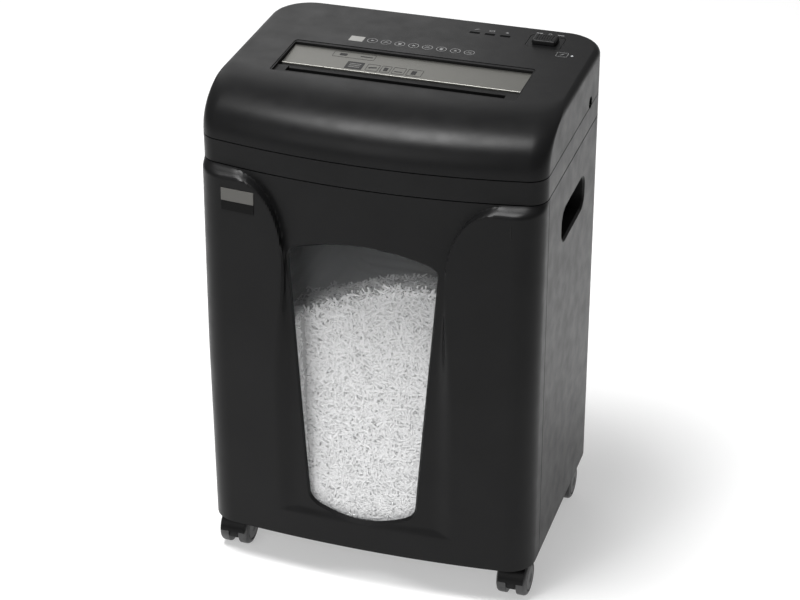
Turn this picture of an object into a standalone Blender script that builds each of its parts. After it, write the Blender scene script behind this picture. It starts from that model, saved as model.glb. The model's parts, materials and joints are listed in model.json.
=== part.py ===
"""A pull-out-bin paper shredder on four castors, built as an assembly of separate pieces.

Units are metres. +Z is up, the front faces -Y, and the origin is on the floor under the middle.
"""

from math import atan, cos, pi, radians, sin, sqrt

import bmesh
import bpy
from mathutils import Matrix, Vector

# Driving sizes
WIDTH = 0.360
DEPTH = 0.289
HEIGHT = 0.545
UNDERSIDE = 0.045          # cabinet bottom above the floor
SEAM_LOW = 0.471           # head meets cabinet and bin
SEAM_HIGH = 0.496          # head cover meets the lower head shell
GAP = 0.0003               # between pieces that touch
SEAM_GAP = 0.0010          # open line between outer shells
WALL = 0.0025              # moulded wall

HALF = WIDTH / 2
BACK = DEPTH / 2

# Plan shape: a parabola across the front, then rounded corners
FRONT_FLUSH = -0.1312      # middle of the head's front
BOW_FLUSH = 0.61
CORNER_FLUSH = 0.021
FRONT_PROUD = -BACK        # middle of the bin front's proud level
BOW_PROUD = 0.35
CORNER_PROUD = 0.030
CORNER_BACK = 0.0425
SPLIT = -0.0919            # where the bin front meets the cabinet's sides
FRONT_STEPS = 12
CORNER_STEPS = 3

# Head cover
NOSE_DEPTH = 0.085         # the front curve's reach back along the top
NOSE_CORNER_GROWTH = 0.010 # the front corners' added radius at the top
EDGE_ROUND = 0.007         # fillet along the top's sides and back
COVER_STEPS = 8

# Feed opening, guide plate and throat
RECESS_HALF = 0.1295
RECESS_FRONT = -0.0405
RECESS_BACK = 0.0393
SLOT_HALF = 0.1155
SLOT_FRONT = -0.0325
SLOT_BACK = -0.0175
PLATE_FRONT = -0.0190
PLATE_BACK = 0.0335
THROAT_BOTTOM = 0.5245

# Cutter unit: two shafts along X, one line of centres
AXIS_Z = 0.505
CUT_FRONT_Y = -0.0415
CUT_REAR_Y = -0.0085
PLATE_X = 0.118            # inner faces of the side plates
PLATE_T = 0.002
DISC_R = 0.0180
CORE_R = 0.0135
SHAFT_R = 0.0040
DISC_PITCH = 0.022
DISC_T = 0.010
DISC_COUNT = 10
COMB_LOW = 0.4900          # the stripper combs' height, below the shafts
COMB_HIGH = 0.4940

# Gears
MODULE = 0.0015
SYNC_TEETH = 22
DRIVE_TEETH = 34
IDLER_SMALL = 10
IDLER_LARGE = 36
PINION_TEETH = 9
IDLER_Y = CUT_REAR_Y + MODULE * (DRIVE_TEETH + IDLER_SMALL) / 2
MOTOR_Y = IDLER_Y + MODULE * (IDLER_LARGE + PINION_TEETH) / 2

# Bin window, relief and paper
WINDOW_TOP = 0.406
WINDOW_BOTTOM = 0.082
WINDOW_TOP_HALF = 0.0795
WINDOW_BOTTOM_HALF = 0.0580
WINDOW_X = -0.0025
PANE_FOOT = -0.1365        # the clear pane leans back from here
PANE_HEAD = -0.0880
PANE_T = 0.0016
PANEL_T = 0.003
TUB_HALF = 0.152
TUB_BACK = 0.132
TUB_FLOOR = 0.058
TUB_TOP = 0.462
TUB_T = 0.002
TUB_EDGE_Z = (0.058, 0.072, 0.100, 0.300, 0.440, 0.450, 0.456, TUB_TOP)
SUNK_LEAN = 0.0115         # how far the sunk middle comes forward at the window's foot
PAPER_DOME = ((0.082, 0.0), (0.330, 0.0), (0.342, 0.010), (0.349, 0.030), (0.350, 0.060))

# Handle holes
HANDLE_Y = 0.0095
HANDLE_Z = 0.4085
HANDLE_LEN = 0.094
HANDLE_TALL = 0.036

# Castors
CASTOR_X = 0.158
CASTOR_STEM_Y = {"front": -0.0935, "rear": 0.0970}
CASTOR_TRAIL = 0.012
WHEEL_R = 0.0200
WHEEL_W = 0.0115
HOOD_W = 0.0095

# Controls
SWITCH = (0.1210, 0.1085)
INDICATORS_X = (0.0440, 0.0605, 0.0770)
INDICATORS_Y = 0.1105
LED = (0.1560, 0.0820)
KNOB_HALF = (0.0128, 0.0094)
KNOB_TALL = 0.0050         # the switch knob stands this far above the cover
SIDE_SCREW = (0.0700, 0.5010)
NOTCH_R = 0.0065
PLUNGER = (0.1560, -0.0600)
GLAND = (-0.0900, 0.0, 0.4835)


def clear_scene():
    for obj in list(bpy.data.objects):
        bpy.data.objects.remove(obj)


def material(name, colour, roughness, metallic=0.0, alpha=1.0):
    made = bpy.data.materials.new(name)
    made.use_nodes = True
    shader = made.node_tree.nodes["Principled BSDF"]
    shader.inputs["Base Color"].default_value = (*colour, 1.0)
    shader.inputs["Roughness"].default_value = roughness
    shader.inputs["Metallic"].default_value = metallic
    shader.inputs["Alpha"].default_value = alpha
    return made


def materials():
    return {
        "shell": material("black_shell", (0.022, 0.022, 0.023), 0.55),
        "inner": material("black_inner", (0.015, 0.015, 0.015), 0.60),
        "guide": material("warm_grey_metal", (0.30, 0.28, 0.25), 0.38, 0.8),
        "clear": material("clear_window", (0.80, 0.83, 0.85), 0.08, 0.0, 0.25),
        "paper": material("shredded_paper", (0.85, 0.85, 0.84), 0.90),
        "label": material("grey_label", (0.45, 0.44, 0.42), 0.50),
        "steel": material("plain_steel", (0.50, 0.50, 0.50), 0.35, 1.0),
        "cutter": material("cutter_steel", (0.40, 0.40, 0.41), 0.30, 1.0),
        "bronze": material("sintered_bronze", (0.45, 0.32, 0.18), 0.45, 1.0),
        "gear": material("white_nylon_gear", (0.78, 0.77, 0.72), 0.50),
        "motor": material("motor_steel", (0.32, 0.32, 0.33), 0.42, 1.0),
        "board": material("green_board", (0.03, 0.16, 0.07), 0.50),
        "lens": material("smoked_lens", (0.06, 0.06, 0.06), 0.15),
        "white": material("white_lens", (0.85, 0.86, 0.88), 0.25),
        "grey": material("grey_plastic", (0.25, 0.25, 0.26), 0.50),
        "wheel": material("wheel_nylon", (0.030, 0.030, 0.031), 0.45),
    }


# ---------------------------------------------------------------- mesh helpers


def add_object(name, bm, finish, at=(0, 0, 0), parent=None):
    """Makes a node from a bmesh whose points are relative to `at`, which is its origin."""
    bmesh.ops.recalc_face_normals(bm, faces=bm.faces)
    mesh = bpy.data.meshes.new(name)
    bm.to_mesh(mesh)
    bm.free()
    mesh.shade_smooth()
    mesh.set_sharp_from_angle(angle=radians(30))
    mesh.materials.append(finish)
    obj = bpy.data.objects.new(name, mesh)
    bpy.context.scene.collection.objects.link(obj)
    obj.location = Vector(at)
    if parent:
        obj.parent = parent
        obj.location = Vector(at) - parent.location
    return obj


def add_empty(name, at):
    empty = bpy.data.objects.new(name, None)
    empty.location = at
    empty.empty_display_size = 0.02
    bpy.context.scene.collection.objects.link(empty)
    return empty


def loft(rings):
    """A closed solid through rings of equal length, capped at both ends."""
    bm = bmesh.new()
    rows = [[bm.verts.new(point) for point in ring] for ring in rings]
    count = len(rings[0])
    for low, high in zip(rows, rows[1:]):
        for i in range(count):
            j = (i + 1) % count
            bm.faces.new((low[i], low[j], high[j], high[i]))
    bm.faces.new(rows[0][::-1])
    bm.faces.new(rows[-1])
    return bm


def prism_z(outline, low, high):
    return loft([[(x, y, z) for x, y in outline] for z in (low, high)])


def prism_x(outline, low, high):
    """Extrudes an outline of (y, z) points along X."""
    return loft([[(x, y, z) for y, z in outline] for x in (low, high)])


def box(low, high):
    outline = [(low[0], low[1]), (high[0], low[1]), (high[0], high[1]), (low[0], high[1])]
    return prism_z(outline, low[2], high[2])


def circle(radius, count, centre=(0.0, 0.0), start=0.0):
    angles = [start + 2 * pi * i / count for i in range(count)]
    return [(centre[0] + radius * cos(a), centre[1] + radius * sin(a)) for a in angles]


def turned_x(profile, count=20):
    """Turns (x, radius) points round the X axis."""
    return loft([[(x, y, z) for y, z in circle(radius, count)] for x, radius in profile])


def turned_z(profile, count=16):
    """Turns (z, radius) points round the Z axis."""
    return loft([[(x, y, z) for x, y in circle(radius, count)] for z, radius in profile])


def turned_y(profile, count=20):
    """Turns (y, radius) points round the Y axis."""
    return loft([[(x, y, z) for x, z in circle(radius, count)] for y, radius in profile])


def rounded_rect(low, high, radius, steps=3):
    """A rectangle with rounded corners, anticlockwise, as 2-D points."""
    corners = (
        (high[0] - radius, low[1] + radius, -pi / 2),
        (high[0] - radius, high[1] - radius, 0.0),
        (low[0] + radius, high[1] - radius, pi / 2),
        (low[0] + radius, low[1] + radius, pi),
    )
    outline = []
    for x, y, start in corners:
        for i in range(steps + 1):
            angle = start + pi / 2 * i / steps
            outline.append((x + radius * cos(angle), y + radius * sin(angle)))
    return outline


def helper(name, bm, at=(0, 0, 0)):
    """A cutting or joining body, which isn't part of the model."""
    bmesh.ops.recalc_face_normals(bm, faces=bm.faces)
    mesh = bpy.data.meshes.new(name)
    bm.to_mesh(mesh)
    bm.free()
    obj = bpy.data.objects.new(name, mesh)
    bpy.context.scene.collection.objects.link(obj)
    obj.location = at
    obj.hide_render = True
    obj.display_type = "WIRE"
    return obj


def boolean(obj, other, operation="DIFFERENCE"):
    """Adds an exact Boolean with another body."""
    modifier = obj.modifiers.new(other.name, "BOOLEAN")
    modifier.operation = operation
    modifier.solver = "EXACT"
    modifier.object = other


def cut(obj, name, bm, at=(0, 0, 0)):
    boolean(obj, helper(name, bm, at))


def join(obj, name, bm, at=(0, 0, 0)):
    boolean(obj, helper(name, bm, at), "UNION")


# ---------------------------------------------------------------- plan outlines

def front_run(half, front, bow, corner):
    """Points from the left side, round the bowed front, to the right side."""
    slope = atan(2 * bow * (half - corner))
    end_x = half - corner * (1 - sin(slope))
    end_y = front + bow * end_x**2
    centre_x, centre_y = half - corner, end_y + corner * cos(slope)
    run = []
    for i in range(CORNER_STEPS):
        angle = pi + (pi / 2 - slope) * i / CORNER_STEPS
        run.append((-centre_x + corner * cos(angle), centre_y + corner * sin(angle)))
    for i in range(FRONT_STEPS + 1):
        x = -end_x + 2 * end_x * i / FRONT_STEPS
        run.append((x, front + bow * x**2))
    for i in range(1, CORNER_STEPS + 1):
        angle = -pi / 2 + slope + (pi / 2 - slope) * i / CORNER_STEPS
        run.append((centre_x + corner * cos(angle), centre_y + corner * sin(angle)))
    return run


def back_run(half, back, corner):
    """Points from the right side, round the back, to the left side."""
    run = []
    for side, start in ((1, 0.0), (-1, pi / 2)):
        for i in range(CORNER_STEPS + 1):
            angle = start + pi / 2 * i / CORNER_STEPS
            x = side * (half - corner) + corner * cos(angle)
            run.append((x, back - corner + corner * sin(angle)))
    return run


def plan(inset=0.0, front_inset=0.0, corner_growth=0.0):
    """The head's outline, drawn in by `inset`, and its front by `front_inset` instead."""
    corner = CORNER_FLUSH - min(inset, 0.008) + corner_growth
    front = front_run(HALF - inset, FRONT_FLUSH + front_inset, BOW_FLUSH, corner)
    return front + back_run(HALF - inset, BACK - inset, CORNER_BACK - inset)


def offset(run, distance):
    """Moves an open run of points to the left of its direction."""
    moved = []
    for i, point in enumerate(run):
        before = Vector(run[max(i - 1, 0)])
        after = Vector(run[min(i + 1, len(run) - 1)])
        along = (after - before).normalized()
        moved.append((point[0] - distance * along.y, point[1] + distance * along.x))
    return moved


# ---------------------------------------------------------------- bin front surface


def smooth(value):
    value = min(max(value, 0.0), 1.0)
    return value * value * (3 - 2 * value)


def shoulder(z):
    """Half width of the sunk middle of the bin front at height z."""
    start, wide, tall, inner = 0.395, 0.060, 0.0815, 0.088
    if z <= start:
        return inner
    return inner + wide - wide * sqrt(max(1 - ((z - start) / tall) ** 2, 0.0))


def proudness(x, z):
    """0 on the sunk middle and at the top seam, 1 on the pillars and the sill."""
    top = SEAM_LOW - SEAM_GAP
    blend = 0.014 + 0.030 * smooth((0.38 - z) / 0.16)
    pillar = smooth((abs(x) - shoulder(z)) / blend + 0.5)
    sill = smooth((WINDOW_BOTTOM + 0.004 - z) / 0.010)
    return max(pillar, sill) * smooth((top - z) / 0.016)


def sunk_lean(z):
    """The sunk middle comes forward a little towards the floor."""
    return SUNK_LEAN * smooth((SEAM_LOW - z) / (SEAM_LOW - WINDOW_BOTTOM))


def panel_run(z):
    flush = front_run(HALF, FRONT_FLUSH, BOW_FLUSH, CORNER_FLUSH)
    proud = front_run(HALF, FRONT_PROUD, BOW_PROUD, CORNER_PROUD)
    run = []
    for (x0, y0), (x1, y1) in zip(flush, proud):
        share = proudness(x0, z)
        y0 = y0 - sunk_lean(z)
        run.append((x0 + (x1 - x0) * share, y0 + (y1 - y0) * share))
    return [(-HALF, SPLIT - SEAM_GAP)] + run + [(HALF, SPLIT - SEAM_GAP)]


def front_y(x, z):
    """The bin front's outer face at (x, z), away from its corners."""
    flush = FRONT_FLUSH + BOW_FLUSH * x**2 - sunk_lean(z)
    proud = FRONT_PROUD + BOW_PROUD * x**2
    return flush + (proud - flush) * proudness(x, z)


def window_outline(margin=0.0):
    """The tapered, arched window as (x, z), grown by `margin`."""
    arch = 0.016
    steps = 8
    outline = []
    half = WINDOW_BOTTOM_HALF + margin
    for i in range(steps + 1):
        x = -1 + 2 * i / steps
        outline.append((WINDOW_X + x * half, WINDOW_BOTTOM - margin + arch * x**2))
    half = WINDOW_TOP_HALF + margin
    for i in range(steps + 1):
        x = 1 - 2 * i / steps
        outline.append((WINDOW_X + x * half, WINDOW_TOP + margin - arch * x**2))
    return outline


# ---------------------------------------------------------------- cabinet and head shells


def build_cabinet(finish):
    side = [(HALF, SPLIT)] + back_run(HALF, BACK, CORNER_BACK) + [(-HALF, SPLIT)]
    outline = side + offset(side, WALL)[::-1]
    walls = prism_z(outline, UNDERSIDE, SEAM_LOW - SEAM_GAP)
    shell = add_object("cabinet_shell", walls, finish["shell"])
    low = (HANDLE_Y - HANDLE_LEN / 2, HANDLE_Z - HANDLE_TALL / 2)
    high = (HANDLE_Y + HANDLE_LEN / 2, HANDLE_Z + HANDLE_TALL / 2)
    holes = prism_x(rounded_rect(low, high, 0.014), -HALF - 0.01, HALF + 0.01)
    cut(shell, "handle_holes", holes)

    inside = WALL + GAP
    tongue = HALF - 0.012
    tongue_front = SPLIT - 0.021
    deck = [(-tongue, tongue_front), (tongue, tongue_front)]
    deck += [(tongue, SPLIT), (HALF - inside, SPLIT)]
    deck += back_run(HALF - inside, BACK - inside, CORNER_BACK - inside)
    deck += [(-HALF + inside, SPLIT), (-tongue, SPLIT)]
    plate = prism_z(deck, UNDERSIDE + 0.0005, UNDERSIDE + 0.0110)
    base = add_object("cabinet_base", plate, finish["shell"])
    for x, y in castor_stems().values():
        hole = prism_z(circle(0.0043, 12, (x, y)), UNDERSIDE - 0.01, UNDERSIDE + 0.02)
        cut(base, "stem_hole", hole)
    low = (-0.120, -0.060, UNDERSIDE + 0.0030)
    cut(base, "base_well", box(low, (0.120, 0.110, UNDERSIDE + 0.02)))


def side_notch(low, high):
    """A hole across the head's upper seam for a side screw, as a bar along X."""
    return prism_x(circle(NOTCH_R, 12, SIDE_SCREW), low, high)


def build_head_shells(finish):
    lower = add_object("head_lower_shell", prism_z(plan(), SEAM_LOW, SEAM_HIGH), finish["shell"])
    floor_top = SEAM_LOW + 0.003
    cut(lower, "head_cavity", prism_z(plan(WALL, WALL), floor_top, SEAM_HIGH + 0.01))
    cut(lower, "paper_chute", box((-0.112, -0.052, SEAM_LOW - 0.01), (0.112, 0.002, SEAM_HIGH)))
    cut(lower, "plunger_hole", prism_z(circle(0.0032, 12, PLUNGER), SEAM_LOW - 0.01, SEAM_HIGH))
    cut(lower, "gland_hole", turned_y([(BACK - 0.01, 0.0068), (BACK + 0.01, 0.0068)], 16), GLAND)

    rise = HEIGHT - SEAM_HIGH - SEAM_GAP
    rings = []
    for wall, order in ((WALL, -1), (0.0, 1)):
        tall = rise - wall
        shell = []
        for i in range(COVER_STEPS + 1):
            angle = pi / 2 * i / COVER_STEPS
            z = tall * sin(angle)
            fillet = max(z - (tall - EDGE_ROUND), 0.0)
            rounding = 1 - sqrt(max(1 - (fillet / EDGE_ROUND) ** 2, 0.0))
            front_in = wall + NOSE_DEPTH * (1 - cos(angle))
            growth = NOSE_CORNER_GROWTH * (1 - cos(angle))
            outline = plan(wall + EDGE_ROUND * rounding, front_in, growth)
            shell.append([(x, y, SEAM_HIGH + SEAM_GAP + z) for x, y in outline])
        rings += shell[::order]
    cover = add_object("head_top_cover", loft(rings), finish["shell"])
    low = (-RECESS_HALF, RECESS_FRONT)
    high = (RECESS_HALF, RECESS_BACK)
    cut(cover, "feed_recess", prism_z(rounded_rect(low, high, 0.004), 0.52, 0.56))
    x, y = SWITCH
    low, high = (x - 0.0190, y - 0.0155), (x + 0.0190, y + 0.0155)
    cut(cover, "switch_hole", prism_z(rounded_rect(low, high, 0.004), 0.52, 0.56))
    for x in INDICATORS_X:
        low = (x - 0.0055, INDICATORS_Y - 0.0022)
        high = (x + 0.0055, INDICATORS_Y + 0.0022)
        cut(cover, "indicator_hole", prism_z(rounded_rect(low, high, 0.001, 2), 0.52, 0.56))
    cut(cover, "led_hole", prism_z(circle(0.0018, 10, LED), 0.52, 0.56))
    for side in (-1, 1):
        low, high = sorted((side * (HALF - 0.02), side * (HALF + 0.01)))
        cut(cover, "cover_notch", side_notch(low, high))
        cut(lower, "shell_notch", side_notch(low, high))
        ends = ((0.0, 0.0056), (0.0100, 0.0056), (0.0100, 0.0042), (0.0125, 0.0042))
        profile = [(side * (along - 0.0150), radius) for along, radius in ends]
        screw = turned_x(profile, 14)
        name = "side_screw_left" if side < 0 else "side_screw_right"
        screw = add_object(name, screw, finish["grey"], (side * HALF, *SIDE_SCREW))
        ends = (side * (HALF - 0.0045), side * (HALF + 0.005))
        cut(screw, "screw_socket", prism_x(circle(0.0022, 6, SIDE_SCREW), *sorted(ends)))


# ---------------------------------------------------------------- feed opening


def build_feed(finish):
    clear = 0.0004
    low = (-RECESS_HALF + clear, RECESS_FRONT + clear)
    high = (RECESS_HALF - clear, RECESS_BACK - clear)
    outline = rounded_rect(low, high, 0.0036)
    top = HEIGHT - 0.0006
    throat = add_object("feed_throat", prism_z(outline, THROAT_BOTTOM, top), finish["inner"])
    bed_back, bed_front = top - 0.0042, top - 0.0062
    bed = [
        (PLATE_FRONT - 0.0010, bed_front),
        (PLATE_BACK + 0.0010, bed_back),
        (PLATE_BACK + 0.0010, top + 0.01),
        (PLATE_FRONT - 0.0010, top + 0.01),
    ]
    cut(throat, "plate_bed", prism_x(bed, -RECESS_HALF + 0.0015, RECESS_HALF - 0.0015))
    ledge = 0.0022
    low = (-SLOT_HALF - 0.012, RECESS_FRONT + 0.0015, top - ledge)
    cut(throat, "front_ledge", box(low, (SLOT_HALF + 0.012, PLATE_FRONT, top + 0.01)))
    slot = [
        (SLOT_FRONT + 0.0035, THROAT_BOTTOM - 0.01),
        (SLOT_BACK - 0.0045, THROAT_BOTTOM - 0.01),
        (SLOT_BACK, THROAT_BOTTOM + 0.010),
        (SLOT_BACK, top + 0.01),
        (SLOT_FRONT, top + 0.01),
        (SLOT_FRONT, top - ledge),
    ]
    cut(throat, "feed_slot", prism_x(slot, -SLOT_HALF, SLOT_HALF))
    low = (-RECESS_HALF - 0.01, -0.008, THROAT_BOTTOM - 0.01)
    high = (RECESS_HALF + 0.01, RECESS_BACK + 0.01, bed_front - 0.0035)
    cut(throat, "throat_step", box(low, high))

    thick = 0.0014
    lip = 0.0034
    profile = [
        (PLATE_FRONT, bed_front + GAP - lip + thick),
        (PLATE_FRONT + thick, bed_front + GAP - lip + thick),
        (PLATE_FRONT + thick, bed_front + GAP),
        (PLATE_BACK, bed_back + GAP),
        (PLATE_BACK, bed_back + GAP + thick),
        (PLATE_FRONT + 0.0008, bed_front + GAP + thick),
        (PLATE_FRONT, bed_front + GAP + thick - 0.0006),
    ]
    lip_room = box(
        (-RECESS_HALF + 0.0015, PLATE_FRONT - 0.0010, bed_front - lip),
        (RECESS_HALF - 0.0015, PLATE_FRONT + thick + GAP, top),
    )
    cut(throat, "lip_room", lip_room)
    half = RECESS_HALF - 0.0020
    add_object("feed_guide_plate", prism_x(profile, -half, half), finish["guide"])

    sensor = box((-0.006, -0.0475, 0.5270), (0.006, RECESS_FRONT - GAP, 0.5370))
    add_object("paper_sensor", sensor, finish["grey"])


# ---------------------------------------------------------------- controls

def build_controls(finish):
    x, y = SWITCH
    top = HEIGHT
    low, high = (x - 0.0186, y - 0.0151), (x + 0.0186, y + 0.0151)
    bezel = prism_z(rounded_rect(low, high, 0.0036), top - 0.0060, top - GAP)
    bezel = add_object("switch_bezel", bezel, finish["inner"])
    stem = (x - 0.0120, y - 0.0025, top - 0.0200)
    cut(bezel, "bezel_stem_slot", box(stem, (x + 0.0120, y + 0.0025, top + 0.01)))

    rest = add_empty("mode_switch_axis", (x, y, top))
    rings = []
    for z, shrink in ((0.0004, 0.0), (KNOB_TALL - 0.0012, 0.0004), (KNOB_TALL, 0.0014)):
        half_x, half_y = KNOB_HALF[0] - shrink, KNOB_HALF[1] - shrink
        outline = rounded_rect((-half_x, -half_y), (half_x, half_y), 0.0015, 2)
        rings.append([(px, py, z) for px, py in outline])
    knob = add_object("mode_switch_knob", loft(rings), finish["shell"], (x, y, top), rest)
    leg = box((x - 0.0020, y - 0.0018, top - 0.0105), (x + 0.0020, y + 0.0018, top + 0.0015))
    join(knob, "knob_leg", leg)

    low = (x - 0.0170, y - 0.0110, top - 0.0260)
    body = box(low, (x + 0.0170, y + 0.0110, top - 0.0070))
    body = add_object("mode_switch_body", body, finish["grey"])
    low = (x - 0.0115, y - 0.0025, top - 0.0115)
    cut(body, "body_slot", box(low, (x + 0.0115, y + 0.0025, top)))

    names = ("left", "middle", "right")
    for name, light_x in zip(names, INDICATORS_X):
        low = (light_x - 0.0052, INDICATORS_Y - 0.0019)
        high = (light_x + 0.0052, INDICATORS_Y + 0.0019)
        lens = prism_z(rounded_rect(low, high, 0.0008, 2), top - 0.0060, top - 0.0004)
        add_object(f"indicator_lens_{name}", lens, finish["lens"])
    led = prism_z(circle(0.0015, 10, LED), top - 0.0060, top - 0.0002)
    add_object("power_led", led, finish["white"])
    board = box((0.030, 0.0930, top - 0.0100), (0.0950, 0.1250, top - 0.0084))
    add_object("control_board", board, finish["board"])

    px, py = PLUNGER
    low = (px - 0.0090, py - 0.0060, SEAM_LOW + 0.0034)
    switch = box(low, (px + 0.0090, py + 0.0060, SEAM_LOW + 0.0180))
    switch = add_object("door_switch", switch, finish["grey"])
    bore = prism_z(circle(0.0032, 12, PLUNGER), SEAM_LOW, SEAM_LOW + 0.0120)
    cut(switch, "switch_bore", bore)
    at = (px, py, TUB_TOP + GAP)
    press = add_empty("door_switch_axis", at)
    profile = ((0.0, 0.0016), (0.0012, 0.0026), (0.0172, 0.0026))
    add_object("door_switch_plunger", turned_z(profile, 12), finish["white"], at, press)

    profile = (
        (BACK - 0.0180, 0.0055),
        (BACK - WALL - 0.0060, 0.0062),
        (BACK - WALL - 0.0060, 0.0088),
        (BACK - WALL - GAP, 0.0088),
        (BACK - WALL - GAP, 0.0064),
        (BACK - 0.0002, 0.0064),
    )
    gland = add_object("mains_gland", turned_y(profile, 16), finish["inner"], GLAND)
    cut(gland, "gland_bore", turned_y([(BACK - 0.03, 0.0038), (BACK + 0.01, 0.0038)], 12), GLAND)


# ---------------------------------------------------------------- cutter unit


def disc_start(shaft):
    """Left end of the first disc; the rear shaft's discs sit in the front one's gaps."""
    first = -DISC_PITCH * DISC_COUNT / 2
    return first + (0.0005 if shaft == "front" else DISC_PITCH / 2 + 0.0005)


def cutter_profile(shaft, left_end, right_end):
    profile = [(left_end, SHAFT_R), (-PLATE_X + 0.002, SHAFT_R), (-PLATE_X + 0.002, CORE_R)]
    for i in range(DISC_COUNT):
        start = disc_start(shaft) + i * DISC_PITCH
        profile += [(start, CORE_R), (start, DISC_R)]
        profile += [(start + DISC_T, DISC_R), (start + DISC_T, CORE_R)]
    profile += [(PLATE_X - 0.002, CORE_R), (PLATE_X - 0.002, SHAFT_R), (right_end, SHAFT_R)]
    return profile


def gear_outline(teeth, shift=0.0):
    """Tapered teeth with room for backlash; `shift` is in tooth pitches."""
    pitch_r = MODULE * teeth / 2
    tip, root = pitch_r + 0.85 * MODULE, pitch_r - 1.15 * MODULE
    step = 2 * pi / teeth
    outline = []
    for i in range(teeth):
        middle = (i + shift) * step
        for radius, share in ((root, -0.30), (tip, -0.105), (tip, 0.105), (root, 0.30)):
            angle = middle + share * step
            outline.append((radius * cos(angle), radius * sin(angle)))
    return outline


def gear(name, teeth, low, high, at, finish, shift=0.0, bore=SHAFT_R + GAP, parent=None):
    made = add_object(name, prism_x(gear_outline(teeth, shift), low, high), finish, at, parent)
    cut(made, name + "_bore", prism_x(circle(bore, 12), low - 0.01, high + 0.01), at)
    return made


def side_plate(name, inner, outline, holes, finish):
    low, high = sorted((inner, inner + (PLATE_T if inner > 0 else -PLATE_T)))
    plate = add_object(name, prism_x(outline, low, high), finish)
    for y, radius in holes:
        hole = prism_x(circle(radius, 14, (y, AXIS_Z)), low - 0.01, high + 0.01)
        cut(plate, name + "_hole", hole)


def build_cutter_unit(finish):
    low_z, high_z = SEAM_LOW + 0.0040, THROAT_BOTTOM
    bush_hole = 0.0066
    left = rounded_rect((-0.064, low_z), (0.014, high_z), 0.004)
    holes = [(CUT_FRONT_Y, bush_hole), (CUT_REAR_Y, bush_hole)]
    side_plate("cutter_side_plate_left", -PLATE_X, left, holes, finish["steel"])
    right = rounded_rect((-0.064, low_z), (0.090, high_z), 0.004)
    holes += [(IDLER_Y, 0.0031), (MOTOR_Y, 0.0062)]
    side_plate("cutter_side_plate_right", PLATE_X, right, holes, finish["steel"])

    for row, y in (("front", CUT_FRONT_Y), ("rear", CUT_REAR_Y)):
        for side, name in ((-1, "left"), (1, "right")):
            ends = (side * (PLATE_X - 0.0010), side * (PLATE_X + PLATE_T + 0.0010))
            low, high = sorted(ends)
            at = (0, y, AXIS_Z)
            bush = turned_x(((low, 0.0062), (high, 0.0062)), 14)
            bush = add_object(f"shaft_bush_{row}_{name}", bush, finish["bronze"], at)
            bore = prism_x(circle(SHAFT_R + GAP, 14), low - 0.01, high + 0.01)
            cut(bush, "bush_bore", bore, at)

    front = add_empty("cutter_front_axis", (0, CUT_FRONT_Y, AXIS_Z))
    rear = add_empty("cutter_rear_axis", (0, CUT_REAR_Y, AXIS_Z))
    at = (0, CUT_FRONT_Y, AXIS_Z)
    shaft = turned_x(cutter_profile("front", -0.1320, 0.1215), 16)
    add_object("cutter_shaft_front", shaft, finish["cutter"], at, front)
    gear("sync_gear_front", SYNC_TEETH, -0.1300, -0.1240, at, finish["steel"], parent=front)
    at = (0, CUT_REAR_Y, AXIS_Z)
    shaft = turned_x(cutter_profile("rear", -0.1320, 0.1385), 16)
    add_object("cutter_shaft_rear", shaft, finish["cutter"], at, rear)
    gear("sync_gear_rear", SYNC_TEETH, -0.1300, -0.1240, at, finish["steel"], shift=0.5, parent=rear)
    gear("drive_gear", DRIVE_TEETH, 0.1305, 0.1370, at, finish["gear"], parent=rear)

    for shaft in ("front", "rear"):
        comb = prism_z(comb_fingers(shaft), COMB_LOW, COMB_HIGH)
        add_object(f"stripper_comb_{shaft}", comb, finish["inner"])
    for name, y, z in (("front", -0.0600, 0.5180), ("rear", 0.0115, 0.4800)):
        rod = turned_x(((-PLATE_X + GAP, 0.0030), (PLATE_X - GAP, 0.0030)), 12)
        add_object(f"tie_rod_{name}", rod, finish["steel"], (0, y, z))


def comb_fingers(shaft):
    """Outline of a stripper: a bar beside the shaft with a finger in each gap."""
    outward = -1 if shaft == "front" else 1
    centre = CUT_FRONT_Y if shaft == "front" else CUT_REAR_Y
    tip = centre + outward * (CORE_R + 0.0010)
    bar_in = centre + outward * (DISC_R + 0.0010)
    bar_out = bar_in + outward * 0.0030
    end = PLATE_X - 0.0030
    outline = [(-end, bar_out), (-end, bar_in)]
    for i in range(DISC_COUNT - 1):
        left = disc_start(shaft) + i * DISC_PITCH + DISC_T + 0.0015
        right = left + DISC_PITCH - DISC_T - 0.0030
        outline += [(left, bar_in), (left, tip), (right, tip), (right, bar_in)]
    outline += [(end, bar_in), (end, bar_out)]
    return outline


def fan_outline():
    blades = 7
    outline = []
    for i in range(blades):
        for radius, share in ((0.0065, -0.35), (0.0200, -0.10), (0.0200, 0.14), (0.0065, 0.20)):
            angle = 2 * pi * (i + share) / blades
            outline.append((radius * cos(angle), radius * sin(angle)))
    return outline


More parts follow.
